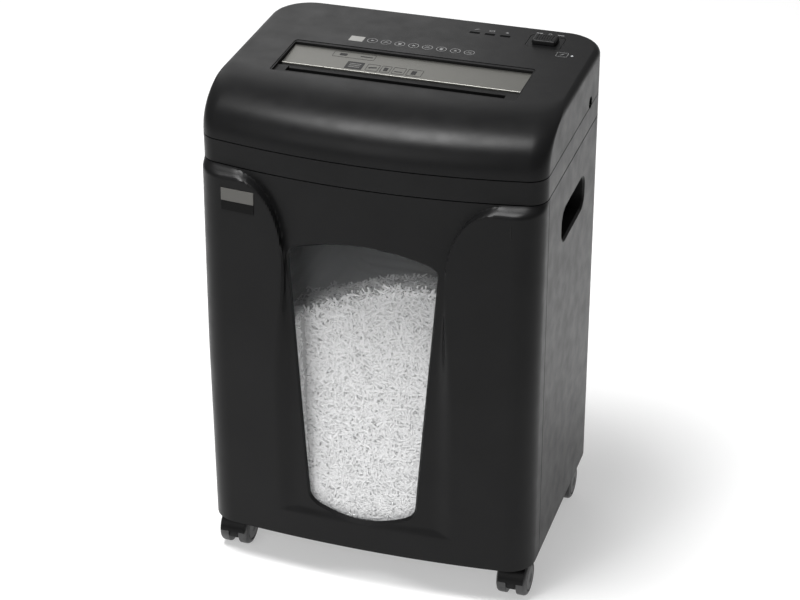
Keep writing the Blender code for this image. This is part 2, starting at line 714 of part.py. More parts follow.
def build_drive(finish):
    at = (0, IDLER_Y, AXIS_Z)
    turn = add_empty("idler_axis", at)
    wheel = prism_x(gear_outline(IDLER_LARGE), 0.1395, 0.1455)
    idler = add_object("idler_gear", wheel, finish["gear"], at, turn)
    join(idler, "idler_pinion", prism_x(gear_outline(IDLER_SMALL, 0.5), 0.1290, 0.1400), at)
    cut(idler, "idler_bore", prism_x(circle(0.0033, 12), 0.11, 0.16), at)
    pin = turned_x(((0.1166, 0.0028), (0.1470, 0.0028)), 12)
    add_object("idler_pin", pin, finish["steel"], at)

    at = (0, MOTOR_Y, AXIS_Z)
    spin = add_empty("motor_axis", at)
    profile = ((0.0120, 0.0025), (0.0350, 0.0025), (0.0350, 0.0150), (0.0950, 0.0150),
               (0.0950, 0.0025), (0.1390, 0.0025))
    rotor = add_object("motor_rotor", turned_x(profile, 16), finish["steel"], at, spin)
    join(rotor, "rotor_pinion", prism_x(gear_outline(PINION_TEETH), 0.1386, 0.1465), at)
    fan = add_object("cooling_fan", prism_x(fan_outline(), 0.0160, 0.0200), finish["gear"], at, spin)
    cut(fan, "fan_bore", prism_x(circle(0.0025 + GAP, 12), 0.01, 0.03), at)

    can = turned_x(((0.0260, 0.0270), (0.0280, 0.0290), (0.1150, 0.0290), (0.1176, 0.0270)), 24)
    can = add_object("motor_housing", can, finish["motor"], at)
    cut(can, "can_hollow", turned_x(((0.0300, 0.0180), (0.1000, 0.0180)), 16), at)
    cut(can, "can_bore", turned_x(((0.0200, 0.0034), (0.1300, 0.0034)), 12), at)
    for side in (-1, 1):
        low, high = sorted((side * 0.0100, side * 0.0400))
        cut(can, "can_vent", box((0.0450, low, -0.0060), (0.0850, high, 0.0060)), at)

    low = (0.0320, MOTOR_Y - 0.0200, SEAM_LOW + 0.0034)
    saddle = box(low, (0.0440, MOTOR_Y + 0.0200, 0.4900))
    saddle = add_object("motor_saddle", saddle, finish["inner"])
    cut(saddle, "saddle_seat", turned_x(((0.0, 0.0294), (0.1, 0.0294)), 24), at)

    profile = ((-0.0700, 0.0120), (-0.0685, 0.0130), (-0.0250, 0.0130), (-0.0235, 0.0120))
    at = (0, 0.0750, SEAM_LOW + 0.0170)
    add_object("run_capacitor", turned_x(profile, 16), finish["grey"], at)

    low, high = (-0.0400, SEAM_LOW + 0.0040), (0.0720, THROAT_BOTTOM + 0.0125)
    cover = prism_x(rounded_rect(low, high, 0.005), 0.1296, 0.1520)
    cover = add_object("gearbox_cover", cover, finish["inner"])
    inner_low = (low[0] + 0.0012, low[1] + 0.0010)
    inner_high = (high[0] - 0.0012, high[1] - 0.0012)
    room = prism_x(rounded_rect(inner_low, inner_high, 0.004), PLATE_X, 0.1505)
    cut(cover, "gear_room", room)


# ---------------------------------------------------------------- bin


def panel_levels():
    top = SEAM_LOW - SEAM_GAP
    steps = (0.0, 0.0035, 0.007, 0.0105, 0.016, 0.026, 0.038, 0.052, 0.070)
    near_seam = [top - step for step in steps]
    middle = [0.375, 0.340, 0.300, 0.250, 0.190, 0.130, 0.095]
    sill = [0.0840, 0.0810, 0.0780, 0.0750, 0.0720, UNDERSIDE]
    return (near_seam + middle + sill)[::-1]


def build_bin(finish):
    axis = add_empty("bin_axis", (0, 0, TUB_FLOOR))
    rings = []
    for z in panel_levels():
        run = panel_run(z)
        ring = run + offset(run, PANEL_T)[::-1]
        rings.append([(x, y, z - TUB_FLOOR) for x, y in ring])
    panel = add_object("bin_front_panel", loft(rings), finish["shell"], (0, 0, TUB_FLOOR), axis)
    hole = loft([[(x, y, z) for x, z in window_outline()] for y in (-0.20, -0.05)])
    cut(panel, "window_hole", hole)

    add_object("bin_window", window_tray(), finish["clear"], (0, 0, TUB_FLOOR), axis)

    profile = [(TUB_BACK, TUB_TOP - TUB_FLOOR), (TUB_BACK, 0.0)]
    for z in TUB_EDGE_Z:
        profile.append((front_y(TUB_HALF, z) + PANEL_T + 0.0035, z - TUB_FLOOR))
    tub = prism_x(profile, -TUB_HALF, TUB_HALF)
    tub = add_object("bin_tub", tub, finish["inner"], (0, 0, TUB_FLOOR), axis)
    inner = TUB_HALF - TUB_T
    low = (-inner, -0.20, TUB_FLOOR + TUB_T)
    cut(tub, "tub_room", box(low, (inner, TUB_BACK - TUB_T, TUB_TOP + 0.05)))
    for side in (-1, 1):
        low, high = sorted((side * (TUB_HALF - 0.001), side * (TUB_HALF + 0.008)))
        flange = box((low, -0.0850, TUB_TOP - 0.0030), (high, TUB_BACK - 0.002, TUB_TOP))
        join(tub, "tub_flange", flange)

    add_object("shredded_paper", paper_heap(), finish["paper"], (0, 0, TUB_FLOOR), axis)
    add_object("blank_label", label_sheet(), finish["label"], (0, 0, TUB_FLOOR), axis)


def pane_y(z):
    """The clear pane's front face: close behind its hole at the foot, deep behind it at the top."""
    share = (z - WINDOW_BOTTOM) / (WINDOW_TOP - WINDOW_BOTTOM)
    return PANE_FOOT + (PANE_HEAD - PANE_FOOT) * min(max(share, 0.0), 1.1)


def grid_solid(columns, rows, point, thickness):
    """A thin curved plate: point(u, v) is on its front face, and its back is `thickness` behind."""
    bm = bmesh.new()
    sheets = []
    for back in (0.0, thickness):
        shift = Vector((0, back, 0))
        sheets.append([[bm.verts.new(Vector(point(u, v)) + shift) for u in columns] for v in rows])
    front, rear = sheets
    for low, high, low_rear, high_rear in zip(front, front[1:], rear, rear[1:]):
        for i in range(len(columns) - 1):
            bm.faces.new((low[i], low[i + 1], high[i + 1], high[i]))
            bm.faces.new((low_rear[i], high_rear[i], high_rear[i + 1], low_rear[i + 1]))
    edge = [(0, i) for i in range(len(columns))]
    edge += [(j, len(columns) - 1) for j in range(1, len(rows))]
    edge += [(len(rows) - 1, i) for i in reversed(range(len(columns) - 1))]
    edge += [(j, 0) for j in reversed(range(1, len(rows) - 1))]
    for (j, i), (m, n) in zip(edge, edge[1:] + edge[:1]):
        bm.faces.new((front[j][i], rear[j][i], rear[m][n], front[m][n]))
    return bm


def window_tray():
    """The clear window: a flange behind the hole, side walls and the leaning pane, as one moulding."""
    def behind_panel(margin, depth):
        ring = []
        for x, z in window_outline(margin):
            y = FRONT_FLUSH + BOW_FLUSH * x**2 - sunk_lean(z) + PANEL_T + 0.0005 + depth
            ring.append((x, y, z - TUB_FLOOR))
        return ring

    def on_pane(margin, depth):
        return [(x, pane_y(z) + depth, z - TUB_FLOOR) for x, z in window_outline(margin)]

    rings = [on_pane(-0.0022, 0.0), behind_panel(-0.0008, 0.0), behind_panel(0.0050, 0.0)]
    rings += [behind_panel(0.0050, 0.0014), behind_panel(0.0008, 0.0014), on_pane(-0.0006, PANE_T)]
    return loft(rings)


def paper_heap():
    """Cut paper as one soft body: against the leaning pane in front, domed on top."""
    clear = TUB_T + 0.0015
    rings = []
    for z, inset in ((TUB_FLOOR + TUB_T + 0.0010, 0.0),) + PAPER_DOME:
        half = TUB_HALF - clear - inset
        outline = front_run(half, pane_y(z) + PANE_T + 0.0012 + inset, BOW_FLUSH, 0.010)
        outline += back_run(half, TUB_BACK - clear - inset, 0.010)
        rings.append([(x, y, z - TUB_FLOOR) for x, y in outline])
    return loft(rings)


def label_sheet():
    """The blank label on the left pillar."""
    columns = [-0.1510 + 0.036 * i / 4 for i in range(5)]
    rows = [0.4270 + 0.024 * i / 3 for i in range(4)]

    def point(x, z):
        return x, front_y(x, z) - 0.0007, z - TUB_FLOOR

    return grid_solid(columns, rows, point, 0.0003)


# ---------------------------------------------------------------- castors


def castor_stems():
    stems = {}
    for row, y in CASTOR_STEM_Y.items():
        for side, name in ((-1, "left"), (1, "right")):
            stems[f"{row}_{name}"] = (side * CASTOR_X, y)
    return stems


def arc(centre, radius, start, end, steps):
    """Points of an arc, from one angle to another in degrees."""
    points = []
    for i in range(steps + 1):
        angle = radians(start + (end - start) * i / steps)
        points.append((centre[0] + radius * cos(angle), centre[1] + radius * sin(angle)))
    return points


def build_castor(name, x, y, finish):
    swivel = add_empty(f"castor_axis_{name}", (x, y, UNDERSIDE))
    at = (x, y, UNDERSIDE)
    centre = (-CASTOR_TRAIL, WHEEL_R - UNDERSIDE)
    hub_r = 0.0032
    fork = arc(centre, 0.0185, -20, 200, 8)
    fork += [(centre[0] - 0.0060, centre[1] - 0.0085), (centre[0] + 0.0060, centre[1] - 0.0085)]
    plate = prism_x(fork, -HOOD_W / 2, HOOD_W / 2)
    hood = add_object(f"castor_hood_{name}", plate, finish["shell"], at, swivel)
    fender = arc(centre, 0.0225, 10, 170, 8) + arc(centre, 0.0209, 10, 170, 8)[::-1]
    reach = HOOD_W / 2 + WHEEL_W * 0.8
    join(hood, "castor_fender", prism_x(fender, -reach, reach), at)
    web = arc(centre, 0.0175, 20, 160, 7) + arc(centre, 0.0215, 20, 160, 7)[::-1]
    join(hood, "castor_web", prism_x(web, -HOOD_W / 2, HOOD_W / 2), at)
    top = -0.0016
    boss = ((-0.0052, 0.0065), (top, 0.0065), (top, 0.0039), (0.0100, 0.0039))
    join(hood, "castor_stem", turned_z(boss, 14), at)
    cut(hood, "castor_bore", prism_x(circle(hub_r + GAP, 12, centre), -0.02, 0.02), at)

    hub = (x, y - CASTOR_TRAIL, WHEEL_R)
    roll = add_empty(f"wheel_axis_{name}", hub)
    roll.parent = swivel
    roll.location = Vector(hub) - swivel.location
    inner = HOOD_W / 2 + 0.0005
    outer = inner + WHEEL_W
    half = ((inner, hub_r), (inner, WHEEL_R - 0.0010), (inner + 0.0010, WHEEL_R),
            (outer - 0.0025, WHEEL_R), (outer, WHEEL_R - 0.0030))
    profile = [(-a, r) for a, r in half[::-1]] + list(half)
    wheel = add_object(f"castor_wheels_{name}", turned_x(profile, 20), finish["wheel"])
    wheel.parent = roll
    wheel.location = (0, 0, 0)


def main():
    clear_scene()
    finish = materials()
    build_cabinet(finish)
    build_head_shells(finish)
    build_feed(finish)
    build_controls(finish)
    build_cutter_unit(finish)
    build_drive(finish)
    build_bin(finish)
    for name, (x, y) in castor_stems().items():
        build_castor(name, x, y, finish)


main()
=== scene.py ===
"""Visual model of the paper shredder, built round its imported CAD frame.

Units are metres. +Z is up, the front faces -Y, and the origin is on the floor under the middle.
"""

import json
import random
from math import atan, cos, exp, hypot, pi, radians, sin, sqrt

import bmesh
import bpy
from mathutils import Matrix, Vector


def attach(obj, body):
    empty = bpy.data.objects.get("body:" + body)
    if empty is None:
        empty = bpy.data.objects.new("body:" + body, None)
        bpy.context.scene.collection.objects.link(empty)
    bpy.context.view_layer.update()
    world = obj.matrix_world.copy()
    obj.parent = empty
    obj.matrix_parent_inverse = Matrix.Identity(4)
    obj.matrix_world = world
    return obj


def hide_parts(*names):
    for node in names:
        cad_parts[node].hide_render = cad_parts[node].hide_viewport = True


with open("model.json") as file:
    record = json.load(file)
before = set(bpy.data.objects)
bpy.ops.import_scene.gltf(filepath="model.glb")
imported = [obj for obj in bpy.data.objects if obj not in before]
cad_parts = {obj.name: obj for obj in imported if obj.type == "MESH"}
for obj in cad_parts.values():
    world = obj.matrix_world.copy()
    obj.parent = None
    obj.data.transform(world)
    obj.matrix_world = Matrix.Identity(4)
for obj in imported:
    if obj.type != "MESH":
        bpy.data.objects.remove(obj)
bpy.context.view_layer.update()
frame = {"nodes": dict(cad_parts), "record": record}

# Outer shells: the CAD model's driving sizes, repeated, but for the fuller nose
WIDTH = 0.360
DEPTH = 0.289
HEIGHT = 0.545              # of the cover's flat top
UNDERSIDE = 0.045           # of the cabinet, over the castors
SEAM_LOW = 0.471            # head meets cabinet and bin
SEAM_HIGH = 0.496           # the head's two shells meet
SEAM_GAP = 0.0010
GAP = 0.0003                # between pieces that fit together
WALL = 0.0025
HALF = WIDTH / 2
BACK = DEPTH / 2
SPLIT = -0.0919             # the bin's front panel meets the cabinet's sides
FRONT_FLUSH = -0.1312       # middle of the head's front
BOW_FLUSH = 0.61
CORNER_FLUSH = 0.021
FRONT_PROUD = -BACK         # middle of the bin front's proud level
BOW_PROUD = 0.35
CORNER_PROUD = 0.030
CORNER_BACK = 0.0425
EDGE_ROUND = 0.007          # fillet along the top's sides and back
NOSE_DEPTH = 0.085          # the front curve's reach back along the top
NOSE_FULLNESS = 0.84        # below 1, the nose is fuller than an ellipse
NOSE_CORNER_GROWTH = 0.010  # the front corners' added radius at the top

# Bin front, its shoulders finer than the CAD's: two proud pillars and a sunk middle with the window
PANEL_T = 0.003
PILLAR_INNER = 0.088        # half width of the sunk middle
PILLAR_EDGE = 0.044         # width of the pillars' inner slopes low down
SHOULDER_FOOT = 0.395       # the shoulders' arcs start here
SHOULDER_OUT = 0.1447       # half width at which the arcs reach the seam
SHOULDER_EDGE = 0.0080      # width of the arcs' slopes
PROUD_LEAN = 0.0080         # how far the pillars fall back at the seam
LEAN_FROM = 0.250           # the height at which they start to
SUNK_LEAN = 0.0115          # how far the sunk middle comes forward at the window's foot
WINDOW_TOP = 0.406
WINDOW_BOTTOM = 0.082
WINDOW_TOP_HALF = 0.0795
WINDOW_BOTTOM_HALF = 0.0580
WINDOW_ARCH = 0.016         # rise of its curved top, and of its curved foot
WINDOW_CORNER = 0.011
WINDOW_X = -0.0025
PANE_FOOT = -0.1365         # the clear pane leans back from here
PANE_HEAD = -0.0880
PANE_T = 0.0016
LABEL_LEFT = -0.1510
LABEL_RIGHT = -0.1150
LABEL_LOW = 0.4270
LABEL_MIDDLE = 0.4375       # the label's pale part meets its dark part
LABEL_HIGH = 0.4510

# Feed opening and controls
RECESS_HALF = 0.1295
RECESS_FRONT = -0.0405
RECESS_BACK = 0.0393
PLATE_FRONT = -0.0090       # further back than the CAD plate's
PLATE_BACK = 0.0335
PLATE_T = 0.0014
PLATE_LIP = 0.0036          # depth of its turned-down front edge
PLATE_DROP = 0.0031         # of its back edge, under the cover's top
PLATE_SLOPE = 0.0381        # its fall towards the slot
SWITCH = (0.1210, 0.1085)
KNOB_HALF = (0.0128, 0.0094)
KNOB_TALL = 0.0050
KNOB_GROOVES = 7
KNOB_GROOVE_PITCH = 0.0026
INDICATORS_X = (0.0440, 0.0605, 0.0770)
INDICATORS_Y = 0.1105
LED = (0.1560, 0.0820)

# Printed marks
PRINT_T = 0.00015           # they stand this proud of the cover
PLATE_PRINT_T = 0.00012
ICON_ROW_Y = 0.0590         # the row of round marks behind the feed plate
ICON_LEFT = -0.0520
ICON_PITCH = 0.0150
PLATE_ROW_FRONT = 0.0025    # the plate's two rows of marks
PLATE_ROW_BACK = 0.0240

# Cabinet and head details
HANDLE = (0.0095, 0.4085)   # a hand hole's centre, as (y, z)
HANDLE_HALF = (0.047, 0.018)
RATING_PLATE = (0.0600, 0.1150)
SIDE_SCREW = (0.0700, 0.5010)
NOTCH_R = 0.0065
PLUNGER = (0.1560, -0.0600)
GLAND = (-0.0900, 0.0, 0.4835)
VENT_COUNT = 15
VENT_LEFT = -0.0300
VENT_PITCH = 0.0075
VENT_Z = 0.5140

# Bin tub and the cut paper in it
TUB_HALF = 0.152
TUB_BACK = 0.132
TUB_FLOOR = 0.058
TUB_T = 0.002
HEAP_HALF = TUB_HALF - TUB_T - 0.0015
HEAP_BACK = TUB_BACK - TUB_T - 0.0015
HEAP_CORNER = 0.012
HEAP_SIDE = 0.285           # the heap's least height
HEAP_CREST = 0.349          # its greatest, against the pane and right of the middle
HEAP_CREST_X = 0.045
HEAP_ROUND = 0.010          # rounding of its edge at the pane
LUMP_TALL = 0.0016          # of the loose paper's waves
FRONT_SHREDS = 9500         # strips tried against the pane, beside its walls, and on top
WALL_SHREDS = 1500
TOP_SHREDS = 2500
SHRED_T = 0.00014

# Castors
CASTOR_X = 0.158
CASTOR_STEM_Y = {"front": -0.0935, "rear": 0.0970}
CASTOR_TRAIL = 0.012
WHEEL_R = 0.0200
WHEEL_W = 0.0115
HOOD_W = 0.0095             # of its middle web, between the wheels

# How finely the visual model is drawn
FRONT_STEPS = 56
PANEL_STEPS = 150
CORNER_STEPS = 12
EDGE_STEPS = 26

# Camera, fitted to the photograph
CAMERA_AT = (0.6534, -2.034, 1.503)
CAMERA_YAW = radians(17.917)
CAMERA_PITCH = radians(29.897)
CAMERA_ROLL = radians(-0.303)
CAMERA_LENS = 103.41

scene = bpy.context.scene


# ---------------------------------------------------------------- materials


class Nodes:
    """A short way to write a material's node tree."""

    def __init__(self, name):
        self.material = bpy.data.materials.new(name)
        self.material.use_nodes = True
        self.tree = self.material.node_tree
        self.shader = self.tree.nodes["Principled BSDF"]
        self.place = self.add("ShaderNodeTexCoord").outputs["Object"]

    def add(self, kind, **settings):
        node = self.tree.nodes.new(kind)
        for key, value in settings.items():
            setattr(node, key, value)
        return node

    def link(self, source, target):
        self.tree.links.new(source, target)

    def noise(self, scale, detail=2.0, stretch=(1, 1, 1), rough=0.5):
        mapping = self.add("ShaderNodeMapping")
        mapping.inputs["Scale"].default_value = stretch
        self.link(self.place, mapping.inputs["Vector"])
        node = self.add("ShaderNodeTexNoise")
        node.inputs["Scale"].default_value = scale
        node.inputs["Detail"].default_value = detail
        node.inputs["Roughness"].default_value = rough
        self.link(mapping.outputs["Vector"], node.inputs["Vector"])
        return node.outputs["Fac"]

    def cells(self, scale):
        node = self.add("ShaderNodeTexVoronoi")
        node.inputs["Scale"].default_value = scale
        self.link(self.place, node.inputs["Vector"])
        return node.outputs["Distance"]

    def ramp(self, factor, low, high, start=0.3, end=0.7):
        """Blends two colours, or two greys, by a factor."""
        node = self.add("ShaderNodeValToRGB")
        for element, position, colour in zip(node.color_ramp.elements, (start, end), (low, high)):
            element.position = position
            element.color = colour if len(colour) == 4 else (*colour, 1.0)
        self.link(factor, node.inputs["Fac"])
        return node.outputs["Color"]

    def grey(self, factor, low, high, start=0.3, end=0.7):
        return self.ramp(factor, (low, low, low), (high, high, high), start, end)

    def bump(self, height, strength, distance, under=None):
        node = self.add("ShaderNodeBump")
        node.inputs["Strength"].default_value = strength
        node.inputs["Distance"].default_value = distance
        self.link(height, node.inputs["Height"])
        if under:
            self.link(under, node.inputs["Normal"])
        return node.outputs["Normal"]

    def set(self, **values):
        for key, value in values.items():
            self.shader.inputs[key.replace("_", " ")].default_value = value

    def wire(self, socket, source):
        self.link(source, self.shader.inputs[socket])


def plastic(name, colour, roughness, grain=0.00004, grain_scale=1900, specular=0.5, lift=1.25):
    """Moulded plastic with a spark-eroded grain, and slow changes of tone and gloss."""
    n = Nodes(name)
    n.set(Specular_IOR_Level=specular)
    slow = n.noise(14, 4.0)
    lighter = tuple(min(c * lift, 1.0) for c in colour)
    n.wire("Base Color", n.ramp(slow, colour, lighter, 0.35, 0.7))
    n.wire("Roughness", n.grey(n.noise(45, 5.0), roughness - 0.04, roughness + 0.05))
    fine = n.bump(n.noise(grain_scale, 2.0), 0.55, grain)
    n.wire("Normal", n.bump(n.cells(grain_scale * 0.55), 0.30, grain, fine))
    return n.material


def metal(name, colour, roughness, stretch=(1, 30, 30), grain=0.00002, scale=260):
    """Brushed or drawn metal with streaks along one direction."""
    n = Nodes(name)
    n.set(Metallic=1.0)
    streaks = n.noise(scale, 6.0, stretch, 0.65)
    darker = tuple(c * 0.82 for c in colour)
    n.wire("Base Color", n.ramp(streaks, darker, colour))
    n.wire("Roughness", n.grey(streaks, roughness - 0.07, roughness + 0.10))
    n.wire("Normal", n.bump(streaks, 0.35, grain))
    return n.material


def clear_material(name, colour, alpha, roughness):
    """Clear moulded plastic: mostly open, with its gloss on top."""
    n = Nodes(name)
    n.set(Alpha=alpha, IOR=1.50)
    haze = n.noise(22, 4.0)
    n.wire("Base Color", n.ramp(haze, colour, tuple(min(c * 1.15, 1.0) for c in colour)))
    n.wire("Roughness", n.grey(n.noise(160, 3.0, (1, 1, 0.2)), roughness, roughness + 0.07))
    n.wire("Normal", n.bump(n.noise(9, 1.0), 0.10, 0.0004))
    return n.material


def paper_material(name, colour):
    n = Nodes(name)
    n.set(Specular_IOR_Level=0.25)
    patches = n.noise(330, 3.0)
    warm = tuple(c * 0.90 for c in colour)
    n.wire("Base Color", n.ramp(patches, warm, colour, 0.30, 0.55))
    n.wire("Roughness", n.grey(n.noise(900, 2.0), 0.80, 0.95))
    n.wire("Normal", n.bump(n.noise(2600, 2.0), 0.4, 0.00004))
    return n.material


def bronze_material(name):
    n = Nodes(name)
    n.set(Metallic=1.0)
    pores = n.cells(2400)
    n.wire("Base Color", n.ramp(pores, (0.16, 0.10, 0.05), (0.46, 0.32, 0.17), 0.05, 0.30))
    n.wire("Roughness", n.grey(n.noise(400, 3.0), 0.38, 0.55))
    n.wire("Normal", n.bump(pores, 0.5, 0.00005))
    return n.material


def board_material(name):
    n = Nodes(name)
    tracks = n.noise(120, 2.0, (1, 6, 1))
    n.wire("Base Color", n.ramp(tracks, (0.012, 0.085, 0.035), (0.030, 0.170, 0.075), 0.47, 0.53))
    n.wire("Roughness", n.grey(n.noise(300, 2.0), 0.35, 0.55))
    n.wire("Normal", n.bump(tracks, 0.3, 0.00004))
    return n.material


FINISH = {
    "black_shell": plastic("shell_plastic", (0.0055, 0.0055, 0.0057), 0.345, specular=0.13),
    "black_inner": plastic("inner_plastic", (0.0050, 0.0050, 0.0051), 0.46, specular=0.15),
    "guide_metal": metal("guide_plate_finish", (0.235, 0.232, 0.215), 0.40, (1, 30, 30)),
    "clear_window": clear_material("clear_plastic", (0.40, 0.41, 0.42), 0.075, 0.04),
    "cut_paper": paper_material("cut_paper", (0.86, 0.86, 0.86)),
    # darker grey for the heap under the strips: painted shade in the gaps between the cut strips
    "paper_painted_shade": paper_material("paper_painted_shade", (0.50, 0.50, 0.50)),
    "grey_label": plastic("label_film", (0.200, 0.198, 0.190), 0.42, 0.00001, 900, 0.4, 1.06),
    "plain_steel": metal("zinc_steel", (0.52, 0.52, 0.50), 0.36, (1, 1, 1), scale=90),
    "cutter_steel": metal("hardened_steel", (0.36, 0.36, 0.37), 0.28, (1, 40, 40)),
    "sintered_bronze": bronze_material("sintered_bronze"),
    "nylon_gear": plastic("white_nylon", (0.66, 0.65, 0.60), 0.42, 0.00002, 1200, 0.45, 1.08),
    "motor_steel": metal("motor_can", (0.27, 0.27, 0.28), 0.42, (30, 1, 1), scale=200),
    "green_board": board_material("green_board"),
    "smoked_lens": plastic("smoked_lens", (0.0012, 0.0012, 0.0013), 0.50, 0.000004, 500, 0.02),
    "label_pale": plastic("label_pale_film", (0.090, 0.088, 0.082), 0.45, 0.00001, 900, 0.3, 1.06),
    "label_dark": plastic("label_dark_film", (0.0022, 0.0022, 0.0022), 0.45, 0.00001, 900, 0.10),
    "white_plastic": plastic("white_plastic", (0.40, 0.41, 0.42), 0.30, 0.00001, 900, 0.5, 1.05),
    "grey_plastic": plastic("grey_plastic", (0.115, 0.115, 0.120), 0.45, 0.00003, 1500),
    "wheel_nylon": plastic("wheel_nylon", (0.0300, 0.0300, 0.0305), 0.38, 0.00003, 900, 0.5),
    "print_light": plastic("pale_print", (0.150, 0.150, 0.150), 0.55, 0.00001, 900, 0.3, 1.15),
    "print_dark": plastic("dark_print", (0.010, 0.010, 0.010), 0.50, 0.00001, 900, 0.3),
}


# ---------------------------------------------------------------- mesh helpers


def evaluated_mesh(obj):
    graph = bpy.context.evaluated_depsgraph_get()
    graph.update()
    return bpy.data.meshes.new_from_object(obj.evaluated_get(graph))


def bake_modifiers(obj):
    """Writes an object's modifiers into its mesh."""
    made = evaluated_mesh(obj)
    obj.modifiers.clear()
    old = obj.data
    obj.data = made
    bpy.data.meshes.remove(old)


def raw_object(name, bm):
    bmesh.ops.recalc_face_normals(bm, faces=bm.faces)
    mesh = bpy.data.meshes.new(name)
    bm.to_mesh(mesh)
    bm.free()
    obj = bpy.data.objects.new(name, mesh)
    scene.collection.objects.link(obj)
    return obj


def boolean(obj, bm, operation="DIFFERENCE"):
    """Cuts or joins a body at once, and leaves no modifier behind."""
    other = raw_object("tool_body", bm)
    modifier = obj.modifiers.new("boolean", "BOOLEAN")
    modifier.operation = operation
    modifier.solver = "EXACT"
    modifier.object = other
    bake_modifiers(obj)
    tool_mesh = other.data
    bpy.data.objects.remove(other)
    bpy.data.meshes.remove(tool_mesh)


def round_edges(obj, width, segments=2, angle=32):
    modifier = obj.modifiers.new("edge_rounding", "BEVEL")
    modifier.width = width
    modifier.segments = segments
    modifier.limit_method = "ANGLE"
    modifier.angle_limit = radians(angle)
    modifier.use_clamp_overlap = True


def even_normals(obj):
    modifier = obj.modifiers.new("weighted_normals", "WEIGHTED_NORMAL")
    modifier.keep_sharp = True
    modifier.weight = 60


def piece(obj, slot, body, replaces=(), edge=0.0, segments=2, angle=32, smooth_angle=40, finish=None):
    """Finishes a raw object as a piece of the shredder."""
    mesh = obj.data
    mesh.shade_smooth()
    mesh.materials.clear()
    mesh.materials.append(FINISH[finish or slot])
    if edge:
        round_edges(obj, edge, segments, angle)
        bake_modifiers(obj)
        obj.data.shade_smooth()
    obj.data.set_sharp_from_angle(angle=radians(smooth_angle))
    even_normals(obj)
    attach(obj, body)
    if replaces:
        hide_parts(*replaces)
    return obj


def make(name, bm, slot, body, **options):
    return piece(raw_object(name, bm), slot, body, **options)


def join_rows(bm, rows):
    """Faces between neighbouring rows of vertices, each row a closed ring."""
    count = len(rows[0])
    for low, high in zip(rows, rows[1:]):
        for i in range(count):
            j = (i + 1) % count
            bm.faces.new((low[i], low[j], high[j], high[i]))


def skin(bm, rows):
    """A closed solid through rows of vertices, capped at both ends."""
    join_rows(bm, rows)
    bm.faces.new(rows[0][::-1])
    bm.faces.new(rows[-1])


def loft(rings):
    """A closed solid through rings of equal length, capped at both ends."""
    bm = bmesh.new()
    skin(bm, [[bm.verts.new(point) for point in ring] for ring in rings])
    return bm


def ring_solid(rings):
    """A closed tube through rings of equal length, whose last ring joins its first."""
    bm = bmesh.new()
    rows = [[bm.verts.new(point) for point in ring] for ring in rings]
    join_rows(bm, rows + rows[:1])
    return bm


def prism_z(outline, low, high):
    return loft([[(x, y, z) for x, y in outline] for z in (low, high)])


def prism_x(outline, low, high):
    return loft([[(x, y, z) for y, z in outline] for x in (low, high)])


def prism_y(outline, low, high):
    return loft([[(x, y, z) for x, z in outline] for y in (low, high)])


def box(low, high):
    outline = [(low[0], low[1]), (high[0], low[1]), (high[0], high[1]), (low[0], high[1])]
    return prism_z(outline, low[2], high[2])


def circle(radius, count, centre=(0.0, 0.0), start=0.0):
    angles = [start + 2 * pi * i / count for i in range(count)]
    return [(centre[0] + radius * cos(a), centre[1] + radius * sin(a)) for a in angles]


def turned(profile, count=48, axis="x"):
    """Turns (along, radius) points round an axis through the origin."""
    rings = []
    for along, radius in profile:
        if axis == "x":
            rings.append([(along, a, b) for a, b in circle(radius, count)])
        elif axis == "y":
            rings.append([(a, along, b) for a, b in circle(radius, count)])
        else:
            rings.append([(a, b, along) for a, b in circle(radius, count)])
    return loft(rings)


def shifted(bm, offset):
    bmesh.ops.translate(bm, vec=offset, verts=bm.verts)
    return bm


def rounded_rect(low, high, radius, steps=8):
    corners = (
        (high[0] - radius, low[1] + radius, -pi / 2),
        (high[0] - radius, high[1] - radius, 0.0),
        (low[0] + radius, high[1] - radius, pi / 2),
        (low[0] + radius, low[1] + radius, pi),
    )
    outline = []
    for x, y, start in corners:
        for i in range(steps + 1):
            angle = start + pi / 2 * i / steps
            outline.append((x + radius * cos(angle), y + radius * sin(angle)))
    return outline


def around(centre, half_x, half_y, radius, steps=8):
    low = (centre[0] - half_x, centre[1] - half_y)
    high = (centre[0] + half_x, centre[1] + half_y)
    return rounded_rect(low, high, radius, steps)


def spaced(low, high, step):
    """Values from low up to, but not including, high."""
    count = max(round((high - low) / step), 1)
    return [low + (high - low) * i / count for i in range(count)]


# ---------------------------------------------------------------- outer shape


def front_run(half, front, bow, corner, steps=FRONT_STEPS):
    """Points from the left side, round the bowed front, to the right side."""
    slope = atan(2 * bow * (half - corner))
    end_x = half - corner * (1 - sin(slope))
    end_y = front + bow * end_x**2
    centre_x, centre_y = half - corner, end_y + corner * cos(slope)
    run = []
    for i in range(CORNER_STEPS):
        angle = pi + (pi / 2 - slope) * i / CORNER_STEPS
        run.append((-centre_x + corner * cos(angle), centre_y + corner * sin(angle)))
    for i in range(steps + 1):
        x = -end_x + 2 * end_x * i / steps
        run.append((x, front + bow * x**2))
    for i in range(1, CORNER_STEPS + 1):
        angle = -pi / 2 + slope + (pi / 2 - slope) * i / CORNER_STEPS
        run.append((centre_x + corner * cos(angle), centre_y + corner * sin(angle)))
    return run


def back_run(half, back, corner):
    """Points from the right side, round the back, to the left side."""
    run = []
    for side, start in ((1, 0.0), (-1, pi / 2)):
        for i in range(CORNER_STEPS + 1):
            angle = start + pi / 2 * i / CORNER_STEPS
            x = side * (half - corner) + corner * cos(angle)
            run.append((x, back - corner + corner * sin(angle)))
    return run


def plan(inset=0.0, front_inset=0.0, corner_growth=0.0):
    corner = CORNER_FLUSH - min(inset, 0.008) + corner_growth
    front = front_run(HALF - inset, FRONT_FLUSH + front_inset, BOW_FLUSH, corner)
    return front + back_run(HALF - inset, BACK - inset, CORNER_BACK - inset)


